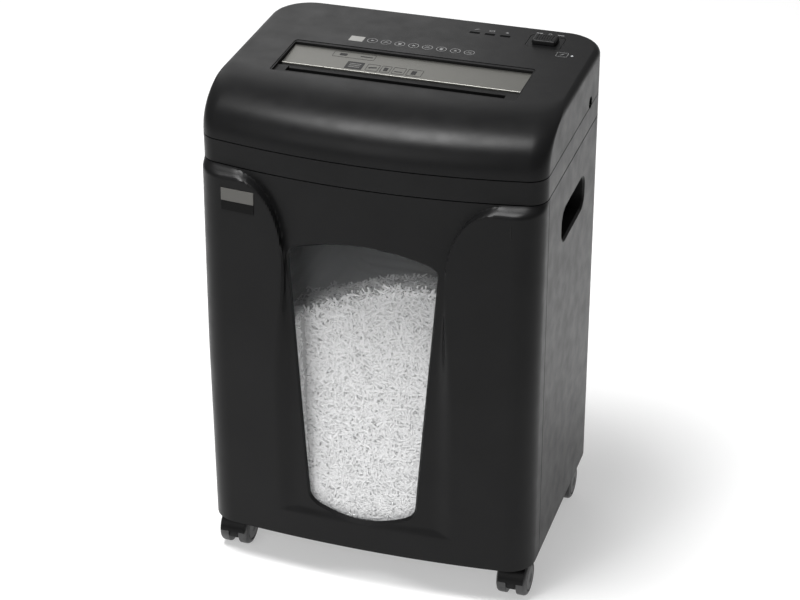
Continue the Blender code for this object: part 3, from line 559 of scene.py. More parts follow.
def offset(run, distance):
    """Moves an open run of points to the left of its direction."""
    moved = []
    for i, point in enumerate(run):
        before = Vector(run[max(i - 1, 0)])
        after = Vector(run[min(i + 1, len(run) - 1)])
        along = (after - before).normalized()
        moved.append((point[0] - distance * along.y, point[1] + distance * along.x))
    return moved


def smooth(value):
    value = min(max(value, 0.0), 1.0)
    return value * value * (3 - 2 * value)


def proudness(x, z):
    """0 on the sunk middle and above the shoulders' arcs, 1 on the pillars and the sill."""
    top = SEAM_LOW - SEAM_GAP
    across = max(SHOULDER_OUT - abs(x), 0.0) / (SHOULDER_OUT - PILLAR_INNER)
    up = max(z - SHOULDER_FOOT, 0.0) / (top - SHOULDER_FOOT)
    inside = (1 - hypot(across, up)) * (top - SHOULDER_FOOT)
    blend = SHOULDER_EDGE + (PILLAR_EDGE - SHOULDER_EDGE) * smooth((SHOULDER_FOOT - z) / 0.18)
    centred = 0.5 * smooth((SHOULDER_FOOT + 0.030 - z) / 0.060)
    pillar = smooth(inside / blend + centred)
    sill = smooth((WINDOW_BOTTOM + 0.004 - z) / 0.010)
    return max(pillar, sill)


def sunk_lean(z):
    """The sunk middle comes forward a little towards the floor."""
    return SUNK_LEAN * smooth((SEAM_LOW - z) / (SEAM_LOW - WINDOW_BOTTOM))


def proud_lean(z):
    """The pillars fall back a little towards the seam."""
    return PROUD_LEAN * (max(z - LEAN_FROM, 0.0) / (SEAM_LOW - LEAN_FROM)) ** 1.2


def panel_run(z):
    flush = front_run(HALF, FRONT_FLUSH, BOW_FLUSH, CORNER_FLUSH, PANEL_STEPS)
    proud = front_run(HALF, FRONT_PROUD, BOW_PROUD, CORNER_PROUD, PANEL_STEPS)
    run = []
    for (x0, y0), (x1, y1) in zip(flush, proud):
        share = proudness(x0, z)
        y0 = y0 - sunk_lean(z)
        y1 = min(y1 + proud_lean(z), y0)
        run.append((x0 + (x1 - x0) * share, y0 + (y1 - y0) * share))
    return [(-HALF, SPLIT - SEAM_GAP)] + run + [(HALF, SPLIT - SEAM_GAP)]


def front_y(x, z):
    """The bin front's outer face at (x, z), away from its corners."""
    flush = FRONT_FLUSH + BOW_FLUSH * x**2 - sunk_lean(z)
    proud = FRONT_PROUD + BOW_PROUD * x**2 + proud_lean(z)
    return flush + (min(proud, flush) - flush) * proudness(x, z)


def sunk_y(x, z):
    """The sunk middle's outer face, carried on past the pillars."""
    return FRONT_FLUSH + BOW_FLUSH * x**2 - sunk_lean(z)


def window_outline(margin=0.0, steps=22):
    """The tapered, arched window as (x, z) with rounded corners, grown by `margin`."""
    arch = WINDOW_ARCH
    low_half, high_half = WINDOW_BOTTOM_HALF + margin, WINDOW_TOP_HALF + margin
    low, high = WINDOW_BOTTOM - margin, WINDOW_TOP + margin

    def bottom(t):
        s = 2 * t - 1
        return s * low_half, low + arch * s**2

    def top(t):
        s = 1 - 2 * t
        return s * high_half, high - arch * s**2

    def right(t):
        return low_half + (high_half - low_half) * t, low + arch + (high - low - 2 * arch) * t

    def left(t):
        x, z = right(1 - t)
        return -x, z

    bend = WINDOW_CORNER + margin
    edges = ((bottom, 2 * low_half), (right, high - low), (top, 2 * high_half), (left, high - low))
    runs = []
    for edge, length in edges:
        cut = bend / length
        runs.append([edge(cut + (1 - 2 * cut) * i / steps) for i in range(steps + 1)])
    outline = []
    for i, run in enumerate(runs):
        outline += run
        corner = Vector(edges[i][0](1.0))
        before, after = Vector(run[-1]), Vector(runs[(i + 1) % 4][0])
        for step in range(1, 8):
            t = step / 8
            point = before * (1 - t) ** 2 + corner * 2 * t * (1 - t) + after * t**2
            outline.append((point.x, point.y))
    return [(x + WINDOW_X, z) for x, z in outline]


def window_share(z):
    """0 at the window's foot, 1 at its top."""
    return (z - WINDOW_BOTTOM) / (WINDOW_TOP - WINDOW_BOTTOM)


def window_half(z):
    return WINDOW_BOTTOM_HALF + (WINDOW_TOP_HALF - WINDOW_BOTTOM_HALF) * window_share(z)


def pane_y(z):
    """The clear pane's front face: close behind its hole at the foot, deep behind it at the top."""
    return PANE_FOOT + (PANE_HEAD - PANE_FOOT) * min(max(window_share(z), 0.0), 1.1)


# ---------------------------------------------------------------- cabinet and head


def build_cabinet():
    side = [(HALF, SPLIT)] + back_run(HALF, BACK, CORNER_BACK) + [(-HALF, SPLIT)]
    outline = side + offset(side, WALL)[::-1]
    shell = raw_object("cabinet_shell_visual", prism_z(outline, UNDERSIDE, SEAM_LOW - SEAM_GAP))
    for sign in (-1, 1):
        rings = []
        for depth, margin in ((-0.004, 0.0062), (0.0, 0.0022), (0.0022, 0.0), (0.012, 0.0)):
            ring = around(HANDLE, HANDLE_HALF[0] + margin, HANDLE_HALF[1] + margin, 0.014 + margin, 10)
            rings.append([(sign * (HALF - depth), y, z) for y, z in ring])
        boolean(shell, loft(rings))
    plate_pocket = around(RATING_PLATE, 0.0420, 0.0240, 0.0030)
    boolean(shell, prism_y(plate_pocket, BACK - 0.0008, BACK + 0.01))
    piece(shell, "black_shell", "root", ["cabinet_shell"], edge=0.0008, angle=38)
    plate = around(RATING_PLATE, 0.0412, 0.0232, 0.0024)
    make("rating_plate_blank", prism_y(plate, BACK - 0.0010, BACK - 0.0004), "grey_label", "root")

    for sign, name in ((-1, "left"), (1, "right")):
        rings = []
        for along, grow in ((0.0024, 0.0), (0.0150, -0.0012), (0.0150, 0.0008), (0.0034, 0.0020)):
            ring = around(HANDLE, HANDLE_HALF[0] + grow, HANDLE_HALF[1] + grow, 0.0135, 10)
            rings.append([(sign * (HALF - along), y, z) for y, z in ring])
        make(f"handle_liner_{name}", ring_solid(rings), "black_inner", "root", edge=0.0003)


def cover_rings(wall):
    """The head cover's surface from its lower edge to its flat top."""
    rise = HEIGHT - PRINT_T - SEAM_HIGH - SEAM_GAP - wall
    rings = []
    for i in range(EDGE_STEPS + 1):
        angle = pi / 2 * i / EDGE_STEPS
        z = rise * sin(angle) ** NOSE_FULLNESS
        fillet = max(z - (rise - EDGE_ROUND), 0.0)
        inset = wall + EDGE_ROUND * (1 - sqrt(max(1 - (fillet / EDGE_ROUND) ** 2, 0.0)))
        back = 1 - max(cos(angle), 0.0) ** NOSE_FULLNESS
        outline = plan(inset, wall + NOSE_DEPTH * back, NOSE_CORNER_GROWTH * back)
        rings.append([(x, y, SEAM_HIGH + SEAM_GAP + z) for x, y in outline])
    return rings


def notch(sign):
    """The hole across the head's upper seam for a side screw."""
    low, high = sorted((sign * (HALF - 0.02), sign * (HALF + 0.01)))
    return prism_x(circle(NOTCH_R, 40, SIDE_SCREW), low, high)


def through_top(outline):
    return prism_z(outline, HEIGHT - 0.025, HEIGHT + 0.01)


def merged(parts):
    """Several bodies that don't touch, in one bmesh."""
    bm = bmesh.new()
    for part in parts:
        mesh = bpy.data.meshes.new("merge")
        part.to_mesh(mesh)
        part.free()
        bm.from_mesh(mesh)
        bpy.data.meshes.remove(mesh)
    return bm


def build_head():
    lower = raw_object("head_lower_shell_visual", prism_z(plan(), SEAM_LOW, SEAM_HIGH))
    boolean(lower, prism_z(plan(WALL, WALL), SEAM_LOW + 0.003, SEAM_HIGH + 0.01))
    paper_chute = box((-0.112, -0.052, SEAM_LOW - 0.01), (0.112, 0.002, SEAM_HIGH))
    boolean(lower, paper_chute)
    plunger_hole = prism_z(circle(0.0032, 24, PLUNGER), SEAM_LOW - 0.01, SEAM_HIGH)
    boolean(lower, plunger_hole)
    gland_hole = turned(((BACK - 0.01, 0.0068), (BACK + 0.01, 0.0068)), 40, "y")
    boolean(lower, shifted(gland_hole, GLAND))
    boolean(lower, merged([notch(-1), notch(1)]))
    piece(lower, "black_shell", "root", ["head_lower_shell"], edge=0.0006, angle=38)

    cover = raw_object("head_top_cover_visual", loft(cover_rings(WALL)[::-1] + cover_rings(0.0)))
    low, high = (-RECESS_HALF, RECESS_FRONT), (RECESS_HALF, RECESS_BACK)
    feed_recess = rounded_rect(low, high, 0.004)
    switch_hole = around(SWITCH, 0.0190, 0.0155, 0.004)
    holes = [feed_recess, switch_hole, circle(0.0018, 24, LED)]
    for x in INDICATORS_X:
        holes.append(around((x, INDICATORS_Y), 0.0055, 0.0022, 0.0010, 4))
    boolean(cover, merged([through_top(hole) for hole in holes]))
    boolean(cover, merged([notch(-1), notch(1)]))
    slots = []
    for i in range(VENT_COUNT):
        centre = (VENT_LEFT + VENT_PITCH * i, VENT_Z)
        slots.append(prism_y(around(centre, 0.0014, 0.0085, 0.0013, 5), BACK - 0.006, BACK + 0.01))
    boolean(cover, merged(slots))
    piece(cover, "black_shell", "root", ["head_top_cover"], edge=0.0005, angle=38)

    inner, outer = plan(WALL + 0.0013, WALL + 0.0013), plan(WALL + 0.0002, WALL + 0.0002)
    low, high = SEAM_HIGH - 0.0030, SEAM_HIGH + 0.0045
    rings = []
    for outline, z in ((outer, low), (outer, high), (inner, high), (inner, low)):
        rings.append([(x, y, z) for x, y in outline])
    lip = raw_object("head_seam_lip", ring_solid(rings))
    boolean(lip, merged([notch(-1), notch(1)]))
    piece(lip, "black_inner", "root")


# ---------------------------------------------------------------- printed marks


class Marks:
    """Thin printed shapes on a surface: place(x, y, lift) is the point that far off it."""

    def __init__(self, place, thickness):
        self.bm = bmesh.new()
        self.place = place
        self.thickness = thickness

    def _rows(self, outline):
        levels = (-self.thickness * 0.3, self.thickness)
        return [[self.bm.verts.new(self.place(x, y, lift)) for x, y in outline] for lift in levels]

    def _walls(self, low, high, flip=False):
        count = len(low)
        for i in range(count):
            j = (i + 1) % count
            face = (low[i], low[j], high[j], high[i])
            self.bm.faces.new(face[::-1] if flip else face)

    def fill(self, outline):
        low, high = self._rows(outline)
        self._walls(low, high)
        self.bm.faces.new(low[::-1])
        self.bm.faces.new(high)

    def band(self, outer, inner):
        outer_low, outer_high = self._rows(outer)
        inner_low, inner_high = self._rows(inner)
        self._walls(outer_low, outer_high)
        self._walls(inner_low, inner_high, True)
        count = len(outer)
        for i in range(count):
            j = (i + 1) % count
            self.bm.faces.new((outer_high[i], outer_high[j], inner_high[j], inner_high[i]))
            self.bm.faces.new((outer_low[j], outer_low[i], inner_low[i], inner_low[j]))

    def line(self, start, end, width):
        a, b = Vector(start), Vector(end)
        across = (b - a).normalized() * (width / 2)
        side = Vector((-across.y, across.x))
        self.fill([tuple(p) for p in (a - side, b - side, b + side, a + side)])

    def ring(self, centre, radius, width, count=32):
        self.band(circle(radius, count, centre), circle(radius - width, count, centre))

    def frame(self, centre, half_x, half_y, radius, width):
        inner = around(centre, half_x - width, half_y - width, max(radius - width, 0.0002), 4)
        self.band(around(centre, half_x, half_y, radius, 4), inner)


def plate_top(y):
    """Height of the guide plate's upper face at y."""
    return HEIGHT - PLATE_DROP - PLATE_SLOPE * (PLATE_BACK - y)


def build_marks():
    """Plain generic pictograms on the cover and the feed plate."""
    def on_cover(x, y, lift):
        return x, y, HEIGHT - PRINT_T + lift

    def on_plate(x, y, lift):
        return x, y, plate_top(y) + lift

    light = Marks(on_cover, PRINT_T * 0.9)
    y = ICON_ROW_Y
    for i in range(8):
        x = ICON_LEFT + ICON_PITCH * i
        light.ring((x, y), 0.0056, 0.0007)
        turn = pi / 5 * i
        if i % 3 == 0:
            light.fill(circle(0.0024, 3, (x, y), turn))
        elif i % 3 == 1:
            light.line((x - 0.0028, y - 0.0012), (x + 0.0028, y - 0.0012), 0.0009)
            light.line((x - 0.0020, y + 0.0014), (x + 0.0020, y + 0.0014), 0.0009)
        else:
            light.fill(around((x, y), 0.0017, 0.0022, 0.0004, 2))
    x, y = SWITCH
    for shift in (-0.0115, 0.0115):
        light.line((x + shift - 0.0034, y + 0.0205), (x + shift + 0.0034, y + 0.0205), 0.0016)
    light.ring((x, y + 0.0205), 0.0019, 0.0006, 24)
    for i, x in enumerate(INDICATORS_X):
        y = INDICATORS_Y + 0.0090
        if i == 0:
            light.line((x - 0.0020, y - 0.0016), (x + 0.0020, y + 0.0016), 0.0010)
        elif i == 1:
            light.frame((x, y), 0.0028, 0.0018, 0.0005, 0.0007)
        else:
            light.fill(circle(0.0021, 3, (x, y), pi / 2))
    x, y = LED
    light.frame((x - 0.0105, y), 0.0060, 0.0052, 0.0008, 0.0005)
    light.line((x - 0.0120, y - 0.0022), (x - 0.0090, y + 0.0022), 0.0009)
    make("cover_marks", light.bm, "grey_label", "root", finish="print_light")

    label = Marks(on_cover, PRINT_T * 0.8)
    label.fill(around((-0.0690, ICON_ROW_Y), 0.0076, 0.0062, 0.0006, 3))
    make("cover_mark_plate", label.bm, "grey_label", "root")

    dark = Marks(on_plate, PLATE_PRINT_T)
    row = PLATE_ROW_FRONT
    dark.fill(around((-0.0525, row), 0.0092, 0.0080, 0.0012, 4))
    for i, half in enumerate((0.0066, 0.0052, 0.0066, 0.0080)):
        x = (-0.0330, -0.0190, -0.0050, 0.0120)[i]
        dark.frame((x, row), half, 0.0072, 0.0010, 0.0004)
    dark.line((-0.0372, row - 0.0010), (-0.0290, row + 0.0010), 0.0022)
    dark.fill(around((-0.0190, row), 0.0022, 0.0038, 0.0005, 3))
    dark.line((-0.0092, row - 0.0020), (-0.0010, row - 0.0020), 0.0012)
    dark.fill(around((0.0110, row), 0.0026, 0.0040, 0.0005, 3))
    dark.frame((-0.0598, PLATE_ROW_BACK), 0.0226, 0.0062, 0.0012, 0.0004)
    dark.fill(around((-0.0715, PLATE_ROW_BACK), 0.0040, 0.0025, 0.0009, 3))
    dark.line((-0.0530, PLATE_ROW_BACK), (-0.0400, PLATE_ROW_BACK), 0.0016)
    make("plate_marks", dark.bm, "grey_label", "root", finish="print_dark")

    pale = Marks(lambda x, y, lift: on_plate(x, y, lift + PLATE_PRINT_T), 0.00008)
    for i in range(3):
        y = row + 0.0035 - 0.0035 * i
        pale.line((-0.0585, y), (-0.0465, y), 0.0007)
    make("plate_marks_pale", pale.bm, "grey_label", "root")


# ---------------------------------------------------------------- feed opening and controls


def build_feed():
    """The feed guide plate; the throat round it is the CAD's own."""
    front, back = plate_top(PLATE_FRONT), plate_top(PLATE_BACK)
    inside, lip_low = PLATE_FRONT + PLATE_T, front - PLATE_LIP
    profile = [(PLATE_FRONT, lip_low), (inside, lip_low), (inside, front - PLATE_T)]
    profile += [(PLATE_BACK, back - PLATE_T), (PLATE_BACK, back)]
    for i in range(7):
        angle = pi / 2 + pi / 2 * i / 6
        profile.append((PLATE_FRONT + 0.0007 * (1 + cos(angle)), front - 0.0007 * (1 - sin(angle))))
    half = RECESS_HALF - 0.0020
    make("feed_guide_plate_visual", prism_x(profile, -half, half), "guide_metal", "root",
         replaces=["feed_guide_plate"], edge=0.0002, angle=40)


def build_controls():
    x, y = SWITCH
    rings = []
    steps = ((0.0004, 0.0), (0.0034, 0.0002), (0.0042, 0.0005), (0.0047, 0.0010), (KNOB_TALL, 0.0018))
    for z, shrink in steps:
        ring = around(SWITCH, KNOB_HALF[0] - shrink, KNOB_HALF[1] - shrink, 0.0022 - shrink * 0.6, 6)
        rings.append([(a, b, HEIGHT + z) for a, b in ring])
    knob = raw_object("mode_switch_knob_visual", loft(rings))
    grooves = []
    for i in range(KNOB_GROOVES):
        middle = x + KNOB_GROOVE_PITCH * (i - (KNOB_GROOVES - 1) / 2)
        low = (middle - 0.0004, y - 0.0064, HEIGHT + KNOB_TALL - 0.0005)
        grooves.append(box(low, (middle + 0.0004, y + 0.0064, HEIGHT + 0.01)))
    boolean(knob, merged(grooves))
    leg = box((x - 0.0020, y - 0.0018, HEIGHT - 0.0105), (x + 0.0020, y + 0.0018, HEIGHT + 0.0015))
    boolean(knob, leg, "UNION")
    piece(knob, "black_shell", "mode_knob", ["mode_switch_knob"], edge=0.0002, angle=30)

    top = HEIGHT - GAP
    frame_outline = around(SWITCH, 0.0186, 0.0151, 0.0036)
    bezel = raw_object("switch_bezel_visual", prism_z(frame_outline, top - 0.0057, top))
    boolean(bezel, box((x - 0.0120, y - 0.0025, HEIGHT - 0.02), (x + 0.0120, y + 0.0025, HEIGHT + 0.01)))
    piece(bezel, "black_shell", "root", ["switch_bezel"], edge=0.0004, angle=30)


# ---------------------------------------------------------------- bin


def build_panel():
    top = SEAM_LOW - SEAM_GAP
    levels = [UNDERSIDE, UNDERSIDE + 0.003] + spaced(0.054, 0.068, 0.005) + spaced(0.068, 0.090, 0.0012)
    levels += spaced(0.090, 0.375, 0.0085) + spaced(0.375, top, 0.0021) + [top]
    rings = []
    for z in levels:
        run = panel_run(z)
        rings.append([(x, y, z) for x, y in run + offset(run, PANEL_T)[::-1]])
    panel = raw_object("bin_front_panel_visual", loft(rings))
    rings = []
    for depth, margin in ((-0.0090, 0.0112), (0.0, 0.0022), (0.0022, 0.0), (0.0160, 0.0)):
        rings.append([(x, sunk_y(x, z) + depth, z) for x, z in window_outline(margin)])
    boolean(panel, loft(rings))
    piece(panel, "black_shell", "bin", ["bin_front_panel"], edge=0.0007, angle=38)


def build_window():
    """One clear moulding: a flange behind the hole, side walls and the leaning pane."""
    def behind_panel(margin, depth):
        return [(x, sunk_y(x, z) + PANEL_T + 0.0005 + depth, z) for x, z in window_outline(margin)]

    def on_pane(margin, depth):
        return [(x, pane_y(z) + depth, z) for x, z in window_outline(margin)]

    rings = [on_pane(-0.0030, 0.0), on_pane(-0.0022, -0.0003), behind_panel(-0.0008, 0.0004)]
    rings += [behind_panel(-0.0004, 0.0), behind_panel(0.0050, 0.0), behind_panel(0.0050, 0.0014)]
    rings += [behind_panel(0.0008, 0.0014), on_pane(-0.0006, PANE_T)]
    make("bin_window_visual", loft(rings), "clear_window", "bin", replaces=["bin_window"], smooth_angle=25)


def heap_front(x, z):
    """The cut paper's face: against the leaning pane, and forward beside the window's walls."""
    on_pane = pane_y(z) + PANE_T + 0.0024
    beside = sunk_y(x, z) + PANEL_T + 0.0060
    share = smooth((abs(x - WINDOW_X) - window_half(z) - 0.0015) / 0.0035)
    return on_pane + (min(beside, on_pane) - on_pane) * share


def heap_crest(x):
    return HEAP_SIDE + (HEAP_CREST - HEAP_SIDE) * exp(-((x - HEAP_CREST_X) / 0.115) ** 2)


def heap_top(x, depth):
    """The heap's height: rounded over at the pane, then falling away behind."""
    crest = heap_crest(x)
    if depth < HEAP_ROUND:
        return crest - HEAP_ROUND * (1 - sqrt(1 - (1 - max(depth, 0.0) / HEAP_ROUND) ** 2))
    return HEAP_SIDE + (crest - HEAP_SIDE) * exp(-((depth - HEAP_ROUND) / 0.050) ** 2)


def heap_outline(share, inset=0.0):
    """A level of the heap: `share` of the way up its sides, or drawn in by `inset` on top."""
    half = HEAP_HALF - inset
    floor = TUB_FLOOR + TUB_T + 0.0010
    ring = []
    for x, y in front_run(half, 0.0, 0.0, HEAP_CORNER, 120):
        z = floor + (heap_top(x, y + inset) - floor) * share
        ring.append((x, heap_front(x, z) + y + inset, z))
    for x, y in back_run(half, HEAP_BACK - inset, HEAP_CORNER):
        depth = y - heap_front(x, heap_crest(x))
        ring.append((x, y, floor + (heap_top(x, depth) - floor) * share))
    return ring


def lump(x, y, z):
    """Uneven surface of loose paper, from crossing waves."""
    across = sin(x * 310 + 1.3 * sin(z * 170))
    away = sin(y * 260 + x * 90)
    upward = sin(z * 290 + 1.7 * sin(x * 140))
    return (across + away + upward) / 3


def build_paper():
    rings = [heap_outline(i / 40) for i in range(41)]
    for i in range(1, 51):
        ring = heap_outline(1.0, 0.104 * (i / 50) ** 1.6)
        rings.append([(x, y, z + LUMP_TALL * lump(x, y, z)) for x, y, z in ring])
    # The heap is painted a darker grey than the strips on it, as painted shade in the gaps between them.
    make("shredded_paper_heap", loft(rings), "cut_paper", "bin",
         replaces=["shredded_paper"], finish="paper_painted_shade")

    dice = random.Random(41)
    bm = bmesh.new()
    lean = (PANE_HEAD - PANE_FOOT) / (WINDOW_TOP - WINDOW_BOTTOM)
    for _ in range(FRONT_SHREDS):
        z = dice.uniform(WINDOW_BOTTOM - 0.003, HEAP_CREST - 0.004)
        x = WINDOW_X + dice.uniform(-1, 1) * (window_half(z) + 0.001)
        if z > heap_crest(x) - 0.002 + dice.uniform(-0.003, 0.003):
            continue
        centre = Vector((x, heap_front(x, z) - dice.uniform(-0.0006, 0.0018), z))
        turn = dice.uniform(0, pi)
        along = Vector((cos(turn), lean * sin(turn) + dice.uniform(-0.1, 0.1), sin(turn))).normalized()
        normal = Vector((dice.uniform(-0.5, 0.5), -1.0, lean + dice.uniform(-0.5, 0.5)))
        shred(bm, dice, centre, along, normal, True)
    for _ in range(WALL_SHREDS):
        z = dice.uniform(WINDOW_BOTTOM, HEAP_CREST - 0.004)
        side = dice.choice((-1, 1))
        x = WINDOW_X + side * (window_half(z) + 0.0032)
        if z > heap_crest(x) - 0.002:
            continue
        y = dice.uniform(sunk_y(x, z) + PANEL_T + 0.0060, pane_y(z) + 0.004)
        turn = dice.uniform(0, pi)
        along = Vector((dice.uniform(-0.1, 0.1), cos(turn), sin(turn))).normalized()
        normal = Vector((-side, dice.uniform(-0.4, 0.4), dice.uniform(-0.4, 0.4)))
        shred(bm, dice, Vector((x, y, z)), along, normal, False)
    for _ in range(TOP_SHREDS):
        x = dice.uniform(-0.100, 0.100)
        depth = 0.09 * dice.random() ** 1.5
        z = heap_top(x, depth)
        y = heap_front(x, z) + depth
        z += LUMP_TALL * lump(x, y, z) + dice.uniform(-0.0002, 0.0030)
        turn = dice.uniform(0, 2 * pi)
        along = Vector((cos(turn), sin(turn), dice.uniform(-0.5, 0.5))).normalized()
        normal = Vector((dice.uniform(-0.6, 0.6), dice.uniform(-0.6, 0.6), 1.0))
        shred(bm, dice, Vector((x, y, z)), along, normal, False)
    piece(raw_object("shredded_paper_strips", bm), "cut_paper", "bin", smooth_angle=50)


def shred(bm, dice, centre, along, normal, pressed):
    """One cut strip of paper, bent once, as a thin closed solid."""
    length = dice.uniform(0.0070, 0.0135)
    width = dice.uniform(0.0013, 0.0019)
    across = along.cross(normal).normalized()
    normal = across.cross(along).normalized()
    bend = dice.uniform(-0.0011, 0.0011)
    rows = []
    for share in (-0.5, 0.0, 0.5):
        middle = centre + along * (length * share) + normal * (bend * (1 - 4 * share * share))
        corners = [(-0.5, 0.0), (0.5, 0.0), (0.5, SHRED_T), (-0.5, SHRED_T)]
        row = []
        for side, lift in corners:
            point = middle + across * (width * side) + normal * lift
            if pressed:
                point.y = max(point.y, heap_front(point.x, point.z) - 0.0019 + SHRED_T - lift)
            point.x = min(max(point.x, -HEAP_HALF), HEAP_HALF)
            row.append(bm.verts.new(point))
        rows.append(row)
    skin(bm, rows)


def build_label():
    """The blank label on the left pillar: a pale upper part over a dark lower one."""
    def on_panel(x, z, lift):
        return x, front_y(x, z) - 0.0002 - lift, z

    for name, bottom, top, finish in (
        ("blank_label_upper", LABEL_MIDDLE, LABEL_HIGH, "label_pale"),
        ("blank_label_lower", LABEL_LOW, LABEL_MIDDLE - GAP, "label_dark"),
    ):
        bm = bmesh.new()
        columns = spaced(LABEL_LEFT, LABEL_RIGHT, 0.003) + [LABEL_RIGHT]
        rows = spaced(bottom, top, 0.002) + [top]
        sheets = []
        for lift in (0.0005, 0.0):
            sheets.append([[bm.verts.new(on_panel(x, z, lift)) for x in columns] for z in rows])
        front, rear = sheets
        last_row, last_column = len(rows) - 1, len(columns) - 1
        for j in range(last_row):
            for i in range(last_column):
                bm.faces.new((front[j][i], front[j][i + 1], front[j + 1][i + 1], front[j + 1][i]))
                bm.faces.new((rear[j][i], rear[j + 1][i], rear[j + 1][i + 1], rear[j][i + 1]))
        for i in range(last_column):
            bm.faces.new((front[0][i], rear[0][i], rear[0][i + 1], front[0][i + 1]))
            bm.faces.new((front[last_row][i], front[last_row][i + 1],
                          rear[last_row][i + 1], rear[last_row][i]))
        for j in range(last_row):
            bm.faces.new((front[j][0], front[j + 1][0], rear[j + 1][0], rear[j][0]))
            bm.faces.new((front[j][last_column], rear[j][last_column],
                          rear[j + 1][last_column], front[j + 1][last_column]))
        made = make(name, bm, "grey_label", "bin", finish=finish)
        if name == "blank_label_upper":
            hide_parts("blank_label")


# ---------------------------------------------------------------- castors


def arc(centre, radius, start, end, steps):
    points = []
    for i in range(steps + 1):
        angle = radians(start + (end - start) * i / steps)
        points.append((centre[0] + radius * cos(angle), centre[1] + radius * sin(angle)))
    return points


def castor_hood_body():
    """Hood of one castor; its stem's axis is at the origin, level with the cabinet's underside."""
    centre = (-CASTOR_TRAIL, WHEEL_R - UNDERSIDE)
    fork = arc(centre, 0.0185, -20, 200, 30)
    fork += [(centre[0] - 0.0060, centre[1] - 0.0085), (centre[0] + 0.0060, centre[1] - 0.0085)]
    hood = raw_object("castor_hood_body", prism_x(fork, -HOOD_W / 2, HOOD_W / 2))
    reach = HOOD_W / 2 + WHEEL_W * 0.8
    fender = arc(centre, 0.0225, 10, 170, 30) + arc(centre, 0.0209, 10, 170, 30)[::-1]
    boolean(hood, prism_x(fender, -reach, reach), "UNION")
    web = arc(centre, 0.0175, 20, 160, 20) + arc(centre, 0.0215, 20, 160, 20)[::-1]
    boolean(hood, prism_x(web, -HOOD_W / 2, HOOD_W / 2), "UNION")
    stem = turned(((-0.0052, 0.0065), (-0.0016, 0.0065), (-0.0016, 0.0039), (0.0100, 0.0039)), 40, "z")
    boolean(hood, stem, "UNION")
    boolean(hood, prism_x(circle(0.0035, 32, centre), -0.02, 0.02))
    return hood


def wheel_profile():
    inner = HOOD_W / 2 + 0.0005
    outer = inner + WHEEL_W
    half = [
        (inner, 0.0032), (inner, WHEEL_R - 0.0012), (inner + 0.0004, WHEEL_R - 0.0003),
        (inner + 0.0011, WHEEL_R), (outer - 0.0038, WHEEL_R), (outer - 0.0022, WHEEL_R - 0.0005),
        (outer - 0.0010, WHEEL_R - 0.0016), (outer - 0.0003, WHEEL_R - 0.0032),
        (outer - 0.0002, WHEEL_R - 0.0048), (outer - 0.0012, WHEEL_R - 0.0052),
        (outer - 0.0012, WHEEL_R - 0.0062), (outer - 0.0002, WHEEL_R - 0.0066),
        (outer, 0.0060), (outer - 0.0006, 0.0052), (outer - 0.0006, 0.0010),
    ]
    return [(-a, r) for a, r in half[::-1]] + half


def build_castors():
    hood = castor_hood_body()
    wheels = raw_object("castor_wheel_body", turned(wheel_profile(), 56))
    for row, y in CASTOR_STEM_Y.items():
        for side, name in ((-1, "left"), (1, "right")):
            corner = f"{row}_{name}"
            x = side * CASTOR_X
            for body, source, at in (
                ("castor", hood, (x, y, UNDERSIDE)),
                ("wheels", wheels, (x, y - CASTOR_TRAIL, WHEEL_R)),
            ):
                node = f"castor_hood_{corner}" if body == "castor" else f"castor_wheels_{corner}"
                copy = bpy.data.objects.new(node + "_visual", source.data.copy())
                scene.collection.objects.link(copy)
                copy.data.transform(Matrix.Translation(at))
                slot = "black_shell" if body == "castor" else "wheel_nylon"
                edge = 0.0005 if body == "castor" else 0.0
                piece(copy, slot, f"{body}_{corner}", [node], edge=edge, angle=35)
    for source in (hood, wheels):
        bpy.data.objects.remove(source)


# ---------------------------------------------------------------- CAD nodes that stay

CAD_EDGE = {
    "feed_throat": 0.0004, "cabinet_base": 0.0005, "bin_tub": 0.0006, "mains_gland": 0.0004,
    "side_screw_left": 0.0003, "side_screw_right": 0.0003, "switch_bezel": 0.0003,
    "indicator_lens_left": 0.0002, "indicator_lens_middle": 0.0002, "indicator_lens_right": 0.0002,
    "power_led": 0.0003, "motor_housing": 0.0006, "gearbox_cover": 0.0008, "door_switch": 0.0004,
    "door_switch_plunger": 0.0003, "run_capacitor": 0.0005, "motor_saddle": 0.0006,
    "mode_switch_body": 0.0004, "paper_sensor": 0.0004, "control_board": 0.0001,
    "cutter_shaft_front": 0.0003, "cutter_shaft_rear": 0.0003, "drive_gear": 0.0002,
    "idler_gear": 0.0002, "sync_gear_front": 0.0002, "sync_gear_rear": 0.0002,
}


def finish_cad_nodes():
    """The CAD nodes keep their shapes, and get procedural materials and softened edges."""
    slot_of = {part["node"]: part["material_slot"] for part in frame["record"]["subparts"]}
    for name, obj in frame["nodes"].items():
        slot = slot_of[name]
        for index in range(len(obj.material_slots)):
            obj.material_slots[index].material = FINISH[slot]
        if obj.hide_render:
            continue
        weld = obj.modifiers.new("weld", "WELD")
        weld.merge_threshold = 0.000002
        round_edges(obj, CAD_EDGE.get(name, 0.0002), 2, 35)
        even_normals(obj)


# ---------------------------------------------------------------- studio


def area_light(name, at, aim, size, power, size_y=None):
    data = bpy.data.lights.new(name, "AREA")
    data.energy = power
    data.shape = "RECTANGLE"
    data.size = size
    data.size_y = size_y or size
    light = bpy.data.objects.new(name, data)
    scene.collection.objects.link(light)
    light.location = at
    light.rotation_euler = (Vector(aim) - Vector(at)).to_track_quat("-Z", "Y").to_euler()
    return light


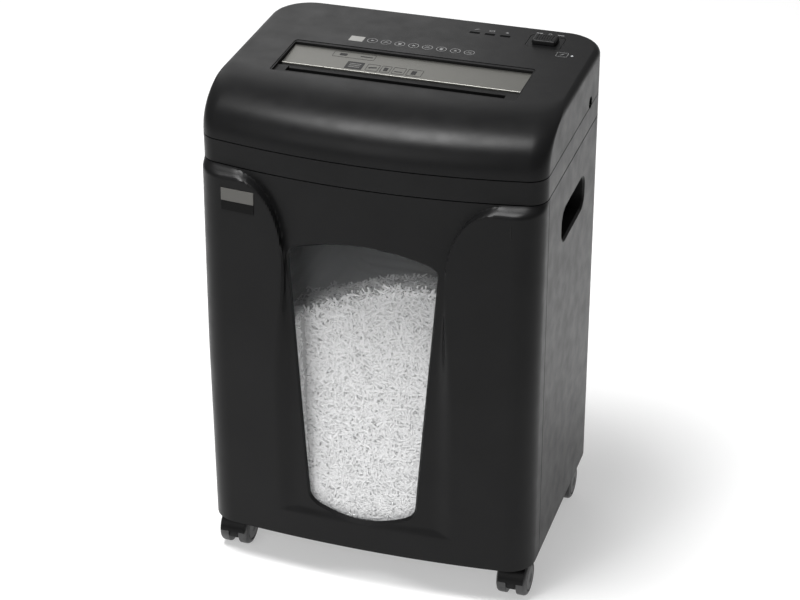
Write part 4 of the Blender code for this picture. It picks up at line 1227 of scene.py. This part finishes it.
def build_studio():
    floor = raw_object("studio_floor", box((-14, -14, -0.02), (14, 14, 0.0)))
    surface = Nodes("studio_floor")
    surface.wire("Base Color", surface.grey(surface.noise(0.7, 2.0), 0.62, 0.64))
    surface.set(Roughness=0.9, Specular_IOR_Level=0.1)
    surface.set(Emission_Color=(1.0, 1.0, 1.0, 1.0), Emission_Strength=0.40)
    floor.data.materials.append(surface.material)

    world = bpy.data.worlds.new("studio")
    scene.world = world
    world.use_nodes = True
    background = world.node_tree.nodes["Background"]
    background.inputs["Color"].default_value = (1.0, 1.0, 1.0, 1.0)
    background.inputs["Strength"].default_value = 0.24

    area_light("key", (-0.50, -0.50, 3.0), (0, 0, 0.3), 1.1, 112)
    area_light("back_left", (-1.5, 2.6, 1.7), (0, 0, 0.5), 1.7, 12)
    area_light("front_fill", (-0.8, -2.6, 1.6), (0, 0, 0.3), 1.6, 18)

    data = bpy.data.cameras.new("camera")
    data.lens = CAMERA_LENS
    data.sensor_width = 36.0
    data.clip_end = 60
    camera = bpy.data.objects.new("camera", data)
    scene.collection.objects.link(camera)
    forward = Vector((
        -sin(CAMERA_YAW) * cos(CAMERA_PITCH),
        cos(CAMERA_YAW) * cos(CAMERA_PITCH),
        -sin(CAMERA_PITCH),
    ))
    right = Vector((cos(CAMERA_YAW), sin(CAMERA_YAW), 0.0))
    up = right.cross(forward)
    rolled_right = right * cos(CAMERA_ROLL) + up * sin(CAMERA_ROLL)
    rolled_up = up * cos(CAMERA_ROLL) - right * sin(CAMERA_ROLL)
    turn = Matrix((rolled_right, rolled_up, -forward)).transposed()
    camera.matrix_world = Matrix.Translation(CAMERA_AT) @ turn.to_4x4()
    scene.camera = camera

    scene.view_settings.view_transform = "Standard"
    scene.view_settings.look = "None"
    scene.view_settings.exposure = 0.0


def main():
    build_studio()
    build_cabinet()
    build_head()
    build_feed()
    build_controls()
    build_marks()
    build_panel()
    build_window()
    build_paper()
    build_label()
    build_castors()
    finish_cad_nodes()


main()
